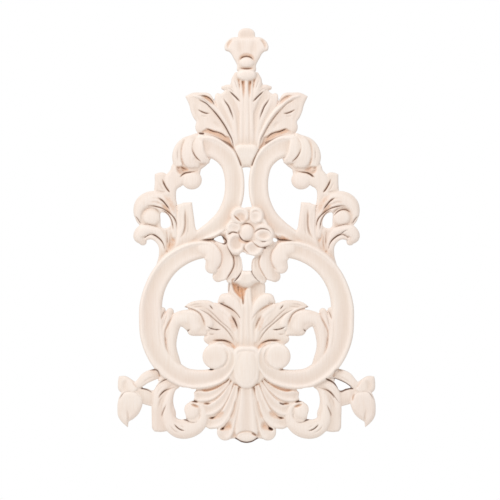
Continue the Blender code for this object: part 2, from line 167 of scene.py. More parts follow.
def smooth_line(knots: Points, closed: bool = False, step: float = LINE_STEP) -> Array:
    """Points along a smooth line: a centripetal Catmull-Rom curve, which suits uneven spacing.

    Args:
        knots: The points it passes through. Values after the first two follow the same curve,
            and one that is left out repeats the one of the point before.
        closed: Whether the line returns to its first point.
        step: Distance between neighbouring points of the result.

    Returns:
        An array with a row for each point.
    """
    full: list[tuple[float, ...]] = []
    for knot in knots:
        full.append(knot + full[-1][len(knot):] if full else knot)
    points = np.array(full, dtype=float)
    if closed:
        points = np.vstack([points[-1], points, points[0], points[1]])
    chords = np.hypot(*np.diff(points[:, :2], axis=0).T)
    times = np.r_[0.0, np.cumsum(np.sqrt(np.maximum(chords, TINY)))]
    slopes = np.diff(points, axis=0) / np.diff(times)[:, None]
    before, after = np.diff(times)[:-1, None], np.diff(times)[1:, None]
    inner = (slopes[1:] * before + slopes[:-1] * after) / (before + after)
    tangents = np.vstack([slopes[:1], inner, slopes[-1:]])
    rows = []
    for span in range(1, len(points) - 2) if closed else range(len(points) - 1):
        count = max(int(np.ceil(chords[span] / step)), 1)
        share = (np.arange(count) / count)[:, None]
        width = times[span + 1] - times[span]
        rows.append((2 * share**3 - 3 * share**2 + 1) * points[span]
                    + (share**3 - 2 * share**2 + share) * width * tangents[span]
                    + (3 * share**2 - 2 * share**3) * points[span + 1]
                    + (share**3 - share**2) * width * tangents[span + 1])
    rows.append(points[1:2] if closed else points[-1:])
    return np.vstack(rows)


def outline_of(points: Points) -> Array:
    """A smooth closed outline. A point that is given twice running is a sharp corner.

    Args:
        points: The outline's points, in order.

    Returns:
        The points of the line, the first one repeated at the end.
    """
    corners = [index for index in range(len(points)) if points[index] == points[index - 1]]
    if not corners:
        return smooth_line(points, closed=True)
    turned = points[corners[0]:] + points[:corners[0]]
    spans = [[turned[0]]]
    for previous, point in zip(turned, turned[1:]):
        if point == previous:
            spans.append([])
        spans[-1].append(point)
    return np.vstack([smooth_line(span)[:-1] for span in spans if len(span) > 1] + [np.array(turned[:1])])


def both_sides(half: Points) -> Points:
    """A closed outline from its right half, which starts and ends on the centre line."""
    return half + tuple((-point[0], point[1]) for point in half[::-1] if point[0] > 0)


def nearest_on(line: Array, at: Pair) -> tuple[Array, ...]:
    """Where each grid point lies beside a line.

    Args:
        line: Rows of points, of which the first two values are the place.
        at: Coordinates of the grid points.

    Returns:
        The distance to the line, the place along it as a fractional row number, the offset to its
        left, and how far the point lies beyond the line's ends.
    """
    east, north = at
    best = np.full(east.shape, np.inf)
    along, offset, beyond = (np.zeros(east.shape) for _ in range(3))
    last = len(line) - 2
    for index, (start, end) in enumerate(zip(line[:, :2], line[1:, :2])):
        run, rise = end - start
        length = math.hypot(run, rise)
        if length < TINY:
            continue
        dx, dy = east - start[0], north - start[1]
        share = (dx * run + dy * rise) / length**2
        held = np.clip(share, 0.0, 1.0)
        distance = np.hypot(dx - held * run, dy - held * rise)
        closer = distance < best
        over = np.zeros(east.shape)
        if index == 0:
            over = np.maximum(over, -share * length)
        if index == last:
            over = np.maximum(over, (share - 1.0) * length)
        best = np.where(closer, distance, best)
        along = np.where(closer, index + held, along)
        offset = np.where(closer, (run * dy - rise * dx) / length, offset)
        beyond = np.where(closer, over, beyond)
    return best, along, offset, beyond


def depth_inside(outline: Points, at: Pair) -> Array:
    """How far each grid point lies inside a closed outline, by counting crossings.

    Args:
        outline: The outline's points.
        at: Coordinates of the grid points.

    Returns:
        The distance to the outline, negative outside it.
    """
    line = outline_of(outline)
    east, north = at
    crossed = np.zeros(east.shape, dtype=bool)
    for (x0, y0), (x1, y1) in zip(line[:, :2], line[1:, :2]):
        if y0 != y1:
            crossed ^= ((y0 > north) != (y1 > north)) & (east < (x1 - x0) * (north - y0) / (y1 - y0) + x0)
    distance = nearest_on(line, at)[0]
    return np.where(crossed, distance, -distance)


class Form(ABC):
    """A raised shape."""

    @abstractmethod
    def extent(self) -> tuple[Points, float]:
        """Points that the form lies around, and how far out it reaches from them."""

    @abstractmethod
    def surface(self, at: Pair) -> Pair:
        """Distance inside the form's edge, and its height, at each grid point."""

    def carve(self, board: "Relief") -> None:
        """Lays the form over the board."""
        board.lay(self)


@dataclass(frozen=True)
class Band(Form):
    """A ribbon of relief along a smooth line.

    Attributes:
        stations: (out, up, half width, crest height) along the line.
        section: The surface across the ribbon.
        fall: Drop from crest to edge; 0 takes it from the half width.
    """

    stations: Points
    section: Section = Section.LOBE
    fall: float = 0

    def extent(self) -> tuple[Points, float]:
        """Its stations and greatest half width."""
        return self.stations, max(station[2] for station in self.stations if len(station) > 2)

    def surface(self, at: Pair) -> Pair:
        """Works out the ribbon.

        Args:
            at: Coordinates of the grid points.

        Returns:
            Distance inside its edge, and its height, at each grid point.
        """
        line = smooth_line(self.stations)
        distance, along, offset, beyond = nearest_on(line, at)
        rows = np.arange(len(line))
        half = np.maximum(np.interp(along, rows, line[:, 2]), LEAST_HALF)
        crest = np.interp(along, rows, line[:, 3])
        fall = self.fall or np.clip(EDGE_FALL * half, LEAST_FALL, MOST_FALL)
        across = np.clip(-offset / half, -1.0, 1.0)
        share = self.section.share(across)
        reach = half - distance
        radial = np.clip(distance / half, 0.0, 1.0)
        capped = (radial**2 - across**2) / np.maximum(1.0 - across**2, LEAST_CAP)
        share = share + (1.0 - share) * np.where(beyond > 0.0, np.clip(capped, 0.0, 1.0), 0.0)
        return reach, crest - fall * share + FLANK * np.minimum(reach, 0.0)


@dataclass(frozen=True)
class Plate(Form):
    """A leaf or block inside a closed outline, tilted from its root to its tip.

    Attributes:
        outline: (out, up) points; one given twice is a corner.
        root: (out, up, height) where the plate starts.
        tip: (out, up, height) where it ends.
        edge: How far in from the outline the surface rounds over.
        fall: How far the surface drops at the outline.
    """

    outline: Points
    root: Triple
    tip: Triple
    edge: float
    fall: float

    def extent(self) -> tuple[Points, float]:
        """Its outline."""
        return self.outline, 0.0

    def surface(self, at: Pair) -> Pair:
        """Works out the plate.

        Args:
            at: Coordinates of the grid points.

        Returns:
            Distance inside its outline, and its height, at each grid point.
        """
        reach = depth_inside(self.outline, at)
        run, rise = self.tip[0] - self.root[0], self.tip[1] - self.root[1]
        share = ((at[0] - self.root[0]) * run + (at[1] - self.root[1]) * rise) / (run**2 + rise**2)
        level = self.root[2] + (self.tip[2] - self.root[2]) * np.clip(share, 0.0, 1.0)
        lip = 1.0 - np.clip(reach / self.edge, 0.0, 1.0)
        return reach, level - self.fall * lip**2 + FLANK * np.minimum(reach, 0.0)


@dataclass(frozen=True)
class Knob(Form):
    """A round or oval swelling.

    Attributes:
        centre: (out, up) of its middle.
        half: Half sizes across and along, before it is turned.
        crest: Height of its highest part.
        fall: Drop from there to the edge.
        section: The surface from the middle to the edge.
        turn: Turn about the middle, in degrees.
    """

    centre: tuple[float, float]
    half: tuple[float, float]
    crest: float
    fall: float
    section: Section = Section.DOME
    turn: float = 0

    def extent(self) -> tuple[Points, float]:
        """Its centre and larger half size."""
        return (self.centre,), max(self.half)

    def surface(self, at: Pair) -> Pair:
        """Works out the swelling.

        Args:
            at: Coordinates of the grid points.

        Returns:
            Distance inside its edge, and its height, at each grid point.
        """
        angle = math.radians(self.turn)
        dx, dy = at[0] - self.centre[0], at[1] - self.centre[1]
        across = (dx * math.cos(angle) + dy * math.sin(angle)) / self.half[0]
        along = (dy * math.cos(angle) - dx * math.sin(angle)) / self.half[1]
        radius = np.maximum(np.hypot(across, along), LEAST_RADIUS)
        slope = np.hypot(across / self.half[0], along / self.half[1]) / radius
        reach = (1.0 - radius) / slope
        height = self.crest - self.fall * self.section.share(np.minimum(radius, 1.0))
        return reach, height + FLANK * np.minimum(reach, 0.0)


class Groove(ABC):
    """Something cut into the wood, which also paints its shade into the colour."""

    line: Points
    depth: float

    @abstractmethod
    def shape_at(self, at: Pair) -> Pair:
        """Strength of the cut, and share of the way from its edge to its bottom, at each grid point."""

    def carve(self, board: "Relief") -> None:
        """Cuts it into the board."""
        board.cut(self)


@dataclass(frozen=True)
class Cut(Groove):
    """A groove along a smooth line, with painted shade: dark at the bottom of a sharp one, warm on the banks
    of a hollow one.

    Attributes:
        line: (out, up) points, or (out, up, share of the full strength) points.
        depth: Greatest depth.
        left: Width of its left bank, as one walks along.
        right: Width of its right bank; 0 takes the left one's.
        groove_shade: How dark the painted shade at its bottom is, from 0 to 1; below 0 takes it from the
            depth.
        warm: How strong the painted warm shade on its banks is, from 0 to 1.
        fade: Share of the length over which each end fades, where the line gives no strengths.
        sharp: 1 for straight banks, more for hollow ones.
    """

    line: Points
    depth: float
    left: float = 0.8
    right: float = 0
    groove_shade: float = -1
    warm: float = 0
    fade: float = 0.3
    sharp: float = 1.4

    @property
    def margin(self) -> float:
        """How far it reaches from its line."""
        return max(self.left, self.right)

    @property
    def darkness(self) -> float:
        """How dark the painted shade at its bottom is.

        Returns:
            The stated painted shade, or one that follows from the depth of a narrow groove.
        """
        if self.groove_shade >= 0:
            return self.groove_shade
        if self.margin > WIDEST_SHADED_CUT:
            return 0.0
        return min(max(self.depth - SHADE_FROM_DEPTH, 0.0) / SHADE_DEPTH_RANGE, 1.0)

    def shape_at(self, at: Pair) -> Pair:
        """Works out the groove.

        Args:
            at: Coordinates of the grid points.

        Returns:
            Strength, and share of the way from its edge to its bottom, at each grid point.
        """
        line = smooth_line(self.line)
        distance, along, offset, _ = nearest_on(line, at)
        if line.shape[1] > 2:
            strength = np.clip(np.interp(along, np.arange(len(line)), line[:, 2]), 0.0, 1.0)
        else:
            share = along / (len(line) - 1)
            strength = np.clip(np.minimum(share, 1.0 - share) / self.fade, 0.0, 1.0) ** FADE_POWER
        width = np.where(offset > 0.0, self.left, self.right or self.left)
        width = width * (END_WIDTH + (1.0 - END_WIDTH) * strength)
        return strength, np.clip(1.0 - distance / width, 0.0, 1.0)


@dataclass(frozen=True)
class Pit(Groove):
    """A hollow inside a closed outline, with its painted shade.

    Attributes:
        line: (out, up) points of its outline; one given twice is a corner.
        depth: Depth of its middle.
        edge: Width of its banks.
        darkness: How dark the painted shade at its bottom is, from 0 to 1.
        warm: How strong the painted warm shade in it is, from 0 to 1.
    """

    line: Points
    depth: float
    edge: float
    darkness: float = 0
    warm: float = 0
    margin: ClassVar[float] = 0
    sharp: ClassVar[float] = 1

    def shape_at(self, at: Pair) -> Pair:
        """Works out the hollow.

        Args:
            at: Coordinates of the grid points.

        Returns:
            Where the hollow is, and share of the way from its rim to its bottom, at each grid point.
        """
        inside = depth_inside(self.line, at)
        share = np.clip(np.abs(inside) / self.edge, 0.0, 1.0)
        return (inside > 0.0).astype(float), share * share * (3.0 - 2.0 * share)


class LessShade(Pit):
    """An area where the painted shade is made lighter; its depth is the share of that shade that goes."""

    def carve(self, board: "Relief") -> None:
        """Takes away part of the painted shade."""
        board.lift_shade(self)


@dataclass(frozen=True)
class Hole:
    """An opening sawn through the board, inside a closed outline."""

    outline: Points

    def carve(self, board: "Relief") -> None:
        """Saws it out."""
        board.pierce(self.outline)


@dataclass
class Relief:
    """Heights and outline of a carving on a regular grid.

    Attributes:
        outs: Grid lines from left to right.
        ups: Grid lines from bottom to top.
        height: Height of the surface above the back.
        reach: Distance inside the outline; negative outside it.
        dark: Painted shade at the bottom of the grooves, from 0 to 1.
        warm: Painted warm shade in hollows and on the banks of grooves, from 0 to 1.
    """

    outs: Array
    ups: Array
    height: Array = field(init=False)
    reach: Array = field(init=False)
    dark: Array = field(init=False)
    warm: Array = field(init=False)

    def __post_init__(self) -> None:
        """Starts with nothing there."""
        shape = (len(self.ups), len(self.outs))
        self.height, self.reach = np.full(shape, NOTHING), np.full(shape, NOTHING)
        self.dark, self.warm = np.zeros(shape), np.zeros(shape)

    def window(self, points: Points, margin: float) -> tuple[slice, slice]:
        """The part of the grid that lies within a margin of some points.

        Args:
            points: The points; values after the first two are left aside.
            margin: The margin.

        Returns:
            The rows and the columns.
        """
        places = np.array([point[:2] for point in points])
        low, high = places.min(axis=0) - margin, places.max(axis=0) + margin
        rows = slice(*np.searchsorted(self.ups, (low[1], high[1])))
        return rows, slice(*np.searchsorted(self.outs, (low[0], high[0])))

    def grid(self, where: tuple[slice, slice]) -> Pair:
        """Coordinates of the grid points in a window."""
        east, north = np.meshgrid(self.outs[where[1]], self.ups[where[0]])
        return east, north

    def lay(self, form: Form) -> None:
        """Adds one form to what is there.

        Args:
            form: What is laid.
        """
        points, width = form.extent()
        where = self.window(points, FORM_MARGIN + width)
        reach, height = form.surface(self.grid(where))
        bare = height <= self.height[where]
        self.reach[where] = np.maximum(self.reach[where], reach)
        self.height[where] = np.maximum(self.height[where], height)
        # a form laid on top clears the painted shade under it
        self.dark[where] *= bare
        self.warm[where] *= bare

    def cut(self, groove: Groove, allowed: Array | None = None) -> None:
        """Cuts one groove or hollow into what is there, and paints its shade into the colour.

        Args:
            groove: The groove or hollow.
            allowed: Which grid points it may touch; all of them if left out.
        """
        where = self.window(groove.line, CUT_MARGIN + groove.margin)
        strength, depth = groove.shape_at(self.grid(where))
        if allowed is not None:
            strength = strength * allowed[where]
        self.height[where] -= groove.depth * strength * depth**groove.sharp
        self.dark[where] = np.maximum(self.dark[where], groove.darkness * strength * depth**SHADE_FOCUS)
        self.warm[where] = np.maximum(self.warm[where], groove.warm * strength * np.sqrt(depth))

    def lift_shade(self, area: Pit) -> None:
        """Takes part of the painted shade out of an area.

        Args:
            area: The area; its depth is the share of the painted shade that goes.
        """
        where = self.window(area.line, CUT_MARGIN)
        strength, depth = area.shape_at(self.grid(where))
        kept = 1.0 - area.depth * strength * depth
        self.dark[where] *= kept
        self.warm[where] *= kept

    def pierce(self, outline: Points) -> None:
        """Saws out what lies inside an outline.

        Args:
            outline: The outline's points.
        """
        where = self.window(outline, HOLE_MARGIN)
        self.reach[where] = np.minimum(self.reach[where], -depth_inside(outline, self.grid(where)))

    def mirrored(self) -> "Relief":
        """Makes the whole board from its right half.

        Returns:
            The whole board.
        """
        whole = Relief(np.concatenate([-self.outs[:0:-1], self.outs]), self.ups)
        for name in ("height", "reach", "dark", "warm"):
            values = getattr(self, name)
            setattr(whole, name, np.hstack([values[:, :0:-1], values]))
        return whole

    def blurred(self, values: Array, radius: float) -> Array:
        """Values averaged over their surroundings inside the outline.

        Args:
            values: Values on the grid.
            radius: Standard deviation of the weights, in millimetres.

        Returns:
            The averages, on the grid.
        """
        mask = (self.reach > 0.0).astype(float)
        waves = [np.fft.fftfreq(count, PITCH)[:, None] for count in mask.shape]
        weights = np.exp(-2.0 * (math.pi * radius) ** 2 * (waves[0] ** 2 + waves[1].T ** 2))
        total, share = (np.fft.ifft2(np.fft.fft2(part) * weights).real for part in (values * mask, mask))
        return np.where(mask > 0.0, total / np.maximum(share, LEAST_SHARE), values)

    def soften(self, radius: float, arris: float) -> None:
        """Sands the surface, and rounds its arris along the outline.

        Args:
            radius: How far the sanding reaches.
            arris: Radius of the rounded edge.
        """
        self.height = self.blurred(self.height, radius)
        near = 1.0 - np.clip(self.reach / arris, 0.0, 1.0)
        self.height -= arris * (1.0 - np.sqrt(1.0 - near**2))

    def sample(self, values: Array, at: Pair) -> Array:
        """Values between grid points, by linear interpolation.

        Args:
            values: Values on the grid.
            at: Coordinates of the wanted places.

        Returns:
            The values there.
        """
        column = np.clip((at[0] - self.outs[0]) / PITCH, 0.0, len(self.outs) - 1 - GRID_SLACK)
        row = np.clip((at[1] - self.ups[0]) / PITCH, 0.0, len(self.ups) - 1 - GRID_SLACK)
        left, below = column.astype(int), row.astype(int)
        right, above = column - left, row - below
        lower = values[below, left] * (1 - right) + values[below, left + 1] * right
        upper = values[below + 1, left] * (1 - right) + values[below + 1, left + 1] * right
        return lower * (1 - above) + upper * above


@dataclass(frozen=True)
class Layer:
    """Forms laid one after the other, and cuts that touch only what these cover."""

    forms: tuple[Form, ...]
    cuts: tuple[Groove, ...]

    def carve(self, board: Relief) -> None:
        """Lays the forms over the board, and cuts them.

        Args:
            board: The board.
        """
        before = board.height.copy()
        for form in self.forms:
            board.lay(form)
        covered = board.height > before
        for groove in self.cuts:
            board.cut(groove, covered)


Steps = tuple[Form | Groove | Hole | Layer, ...]


@dataclass(frozen=True)
class Motif:
    """One part of the carving.

    Attributes:
        steps: What is laid, cut and sawn, in order.
    """

    steps: Steps

    def carve(self, board: Relief) -> None:
        """Works the motif on the board.

        Args:
            board: The board.
        """
        for step in self.steps:
            step.carve(board)
        LOG.info("carved %s", type(self).__name__)


@dataclass(frozen=True)
class Lily(Motif):
    """The closed lily bud at the head, with its bead and collar."""

    steps: Steps = (
        # petal behind
        Plate(both_sides(((0, 147.7), (3.2, 147.2), (5.6, 145.2), (6.2, 142), (6.3, 136))), (0, 136, 7),
            (0, 148, 6.4), 2, 0.6),
        Layer((
            Plate(both_sides(((0, 141.2), (6, 141.2), (9.8, 141), (12.4, 139.8), (14.8, 137.2),
                (15.9, 134.2), (15.2, 131.8), (12.8, 131), (10.9, 129.2), (9.7, 126.8), (8.2, 124.2),
                (6.8, 121), (6.6, 117))), (0, 122, 9), (0, 141, 8), 3, 1),
        ), (
            Cut(((13.4, 132.6), (13.2, 135.2), (11.8, 137.8), (9.8, 139.8)), 1.3, 1, 1.6, groove_shade=0.1, warm=0.35,
                sharp=1),
            Cut(((5.6, 140), (5, 134), (3.8, 128)), 0.35, 2.4, sharp=1),
        )),
        Cut(((-5.6, 123), (-3.6, 126.6), (0, 128), (3.6, 126.6), (5.6, 123)), 0.6, 2, 1.4, groove_shade=0, warm=0.7,
            sharp=1),
        Knob((0, 122.7), (5.2, 3.6), 10.6, 1.4),
        Knob((0, 114), (6.7, 4.2), 11, 1.6),
        Cut(((-4.8, 125, 0.5), (-2.8, 126.6, 1), (0, 127.2), (2.8, 126.6), (4.8, 125, 0.5)), 1.2, 0.8, 0.9,
            groove_shade=1.1, warm=0.3),
        Cut(((-5.4, 118.8), (0, 118.2), (5.4, 118.8)), 2, groove_shade=0.8, warm=0.5, fade=0.35),
    )


@dataclass(frozen=True)
class UpperLeaf(Motif):
    """The acanthus spray below the lily: a fluted stem, and three blades and a leaf on each side."""

    steps: Steps = (
        Plate(both_sides(((0, 114), (9, 112), (12, 107), (15, 103.4), (18, 100.6), (22.4, 99.8), (22.4, 95),
            (20.6, 88), (17.4, 80), (13, 70), (9, 60), (5, 50), (0, 50))), (0, 66, 9.2), (0, 108, 7.3), 2,
            0.6),
        # broad leaf: the hollow in its upper edge and its lines, two short veins, and soft hollows
        Layer((
            Plate(((44.2, 98.6), (44.2, 98.6), (38.5, 101.2), (32.8, 101.3), (27.8, 101), (25.4, 99.2),
                (23.9, 96.4), (22.2, 92.6), (17.6, 87.1), (11.9, 77), (7.6, 67), (6, 60), (11.2, 60),
                (18.4, 65.5), (29.2, 69.8), (33.4, 71), (36.4, 74), (36.9, 77), (36.3, 80.2), (38.4, 83.5),
                (40.2, 87.8), (41.4, 92.4)), (8, 62, 9), (43, 98, 6.8), 2.4, 0.9),
            Band(((38, 98.8, 0.8, 7.8), (32, 97.2, 1.2, 8.6), (26.3, 92.7, 1.3, 9), (19.8, 86.4, 1.4, 9.5),
                (15.5, 80.3, 1.4, 9.8), (11.9, 73.4, 1.3, 9.9), (9.4, 67, 1.2, 10), (8.2, 60, 1)), fall=0.9),
        ), (
            Cut(((33, 98.4), (29, 97.4), (26.2, 95.4), (24, 92.8)), 1.5, 1.8, groove_shade=0, warm=0.75, sharp=0.9),
            Cut(((35.4, 98.8, 0.2), (30.6, 98.8, 0.9), (27, 97.4, 1), (24.6, 95), (23.4, 92.8, 0.7)), 1.5,
                groove_shade=1),
            Cut(((34, 97.2, 0.3), (31.4, 96.6, 0.8), (27.6, 93.8, 0.7), (24.2, 91.6, 0.4)), 0.9, 0.6, 0.7,
                groove_shade=0.6),
            Cut(((34.6, 88.7, 0.6), (31.8, 87.2, 1), (29.2, 86.3), (26.8, 86.1, 0.4)), 1.7, 0.75, 0.8, groove_shade=1,
                warm=0.3),
            Cut(((33, 84.8), (30.4, 84), (28, 84.2)), 0.6, groove_shade=0.15),
            Cut(((38, 93), (36, 86), (33.5, 80)), 0.4, 2.4, sharp=1),
            Cut(((24.4, 80.2), (21, 78), (19.4, 75)), 0.4, 1.6, sharp=1),
        )),
        # blades, from the outermost
        Layer((
            Band(((20.8, 99.2, 1.7, 6.9), (17.8, 96.4, 4.2, 8), (13.8, 90.5, 4.9, 8.8), (10.4, 83, 4.4, 9.2),
                (8, 73, 3.2, 9.5), (6.6, 63, 1.6, 9.6))),
        ), (
            Cut(((16.6, 96.8, 0.3), (15.2, 94.4, 0.8), (13, 91.2, 1), (11.4, 87.4), (10, 83.6, 0.6),
                (9.4, 80, 0)), 1.7, 0.8, 1.2, groove_shade=0.9),
            Cut(((19.4, 94), (16, 85), (12.6, 76), (10.4, 66)), 0.7, 1.8, sharp=1),
            Cut(((7.2, 95), (5.6, 88), (5.4, 78), (5.6, 68)), 0.4, 1.6, sharp=1),
        )),
        Layer((
            Band(((16.9, 104.8, 1.3, 6.8), (13.6, 104.4, 2.7, 7.9), (9.6, 101.6, 3.4, 8.6),
                (6.2, 95.6, 3, 9.1), (4, 87, 1.6, 9.3))),
        ), (
            Cut(((15.6, 104.8), (11.8, 103.8), (8.4, 100.4), (5.8, 95.8)), 0.9, 0.6, groove_shade=0.4),
            Cut(((13.4, 106), (9.8, 104.2), (7.2, 101), (5.4, 97.4)), 0.8, 0.5, groove_shade=0.35),
            Cut(((15.4, 103.4), (12.4, 102.8)), 0.6, 0.6),
        )),
        Layer((
            Band(((7.4, 114.4, 1.5, 7.6), (8.2, 109.8, 2.9, 8.6), (6.9, 103.4, 3.2, 9.1),
                (4.2, 92, 2.2, 9.3))),
        ), (
            Cut(((7, 113.2), (5.4, 109.4), (4.9, 105.6), (4.2, 101.8)), 0.9, groove_shade=0.4, warm=0.5),
            Cut(((9, 111.4), (7.8, 107.4), (6.2, 103)), 0.6, 0.7, groove_shade=0.35),
        )),
        Band(((0, 58, 6, 9.9), (0, 78, 5.4), (0, 101, 4.6, 9.6), (0, 113, 4.4, 9.2)), Section.STEM, 0.8),
        # midrib of the leaf, line between blades, and flutes of the stem
        Cut(((35, 96.8, 0), (33.4, 95.6, 0.6), (29.2, 93.4, 0.9), (25.3, 89.6, 0.8), (22, 85.9, 1),
            (18.7, 81.6), (15.5, 76.8), (12.8, 71.8), (10.6, 67.2, 0.9), (9.4, 61.6, 0.4)), 1.7, 0.65, 1.1,
            groove_shade=0.95),
        Cut(((12.6, 102.4), (9.6, 99.6), (7, 97), (4.2, 94)), 2.2, 0.8, 0.9, groove_shade=1, fade=0.25),
        Cut(((2.7, 111.6, 0.6), (2.5, 108.6, 1), (2.2, 104, 0.8), (2.1, 96, 0)), 1.8, 1.5, groove_shade=0.35,
            warm=0.9, sharp=1),
        Cut(((3, 110.4), (2.8, 106)), 1, groove_shade=0.6, fade=0.4),
    )


@dataclass(frozen=True)
class UpperScroll(Motif):
    """The upper C-scroll: its hollow-faced band, the folds round its end, and a ball."""

    steps: Steps = (
        Plate(((52, 52), (44, 56), (34, 56), (25.9, 53.4), (25.9, 53.4), (28.8, 49.2), (33, 46), (33, 46),
            (33.4, 44), (34.4, 41), (48, 38), (54, 45)), (44, 40, 7.6), (44, 54, 7.8), 1.6, 0.6),
        Knob((39.5, 38.3), (7.2, 6.8), 9.2, 1.5),
        Band(((33.5, 62.5, 7.8, 10.2), (25.5, 62.1, 7.8, 10.6), (18.5, 58.5, 7.4), (12.5, 52, 7.1),
            (9.5, 44, 7), (8.5, 34), (10, 23), (15.5, 11, 7, 10.4), (23.7, 3.5, 6.2, 10),
            (31.5, -0.8, 4.7, 9.4), (41, -7.2, 3, 8.6)), Section.BAND, 1.9),
        Layer((
            Band(((40.8, 69.2, 1.2, 8.6), (44.9, 66.3, 2.4, 9.3), (48.4, 61.6, 3.2, 9.7), (49.9, 55.2, 3.7),
                (49.2, 48.8, 3.2, 9)), Section.LAP, 1.2),
            Band(((36.6, 70.4, 1.5, 9.2), (40.6, 66.6, 3.3, 10.3), (42.6, 61.4, 4.1, 10.7),
                (42.4, 55.8, 4.6), (40, 51.4, 4.6, 10.3), (36, 49.6, 2.8, 9.6)), Section.LAP, 1.4),
            Band(((32.6, 70.6, 1.8, 9.8), (34.8, 65.4, 3.6, 10.8), (34.9, 60.6, 4.4, 11.2),
                (33.6, 56.4, 4.2), (31.2, 53.4, 3.6, 10.8), (28.8, 52, 2.2, 10)), Section.LAP, 1.2),
        ), (
            Cut(((36.2, 69.4, 0.2), (38.4, 65.6, 0.4), (39.3, 61.6), (38.2, 57.6, 0.9), (36, 54.2, 1),
                (33.2, 51.6, 0.7)), 1.4, 0.7, 0.9, groove_shade=0.8, warm=0.4),
            Cut(((44.9, 66.6, 0.4), (46.4, 62, 0.7), (46.9, 56, 0.8), (46.2, 51.4), (44.9, 48.2, 0.6)), 1.2,
                1.3, 0.7, groove_shade=0.35, warm=0.45),
            Cut(((49, 62), (49.6, 57), (49.2, 51)), 0.7, 0.7, groove_shade=0.3),
            Cut(((30.8, 63), (30.2, 58.4), (28.2, 54.6)), 0.5, 1.2, 1, groove_shade=0.12),
        )),
        # rough hollow under the folds, with painted warm shade, and the line over the ball
        Pit(((50.8, 48.4), (46.6, 48.6), (42.6, 47.4), (41, 45), (44, 43.4), (47.6, 41.6), (50.6, 44)), 0.9,
            1.8, darkness=0.2, warm=0.55),
        Cut(((50.4, 47.6), (48.8, 46.6), (47.4, 47)), 1, 0.7, groove_shade=0.6, warm=0.5, fade=0.4, sharp=1.2),
        Cut(((47.6, 48.8), (46.4, 47.2), (44.6, 46.2), (42.6, 45.6)), 1, groove_shade=0.7, warm=0.5, sharp=1.2),
        Cut(((49.8, 45.4), (48.4, 44.6)), 0.9, 0.6, groove_shade=0.5, warm=0.5, fade=0.4, sharp=1.2),
        Cut(((46.6, 45.2), (45.2, 44.8)), 0.9, 0.6, groove_shade=0.5, warm=0.5, fade=0.4, sharp=1.2),
        Cut(((47.6, 40.4, 0.5), (46, 42.1, 1), (44, 43.2), (40.7, 43.8, 0.9), (37, 44.4, 0.4),
            (34, 45.6, 0.1)), 2, 0.8, 0.9, groove_shade=1, warm=0.5),
    )


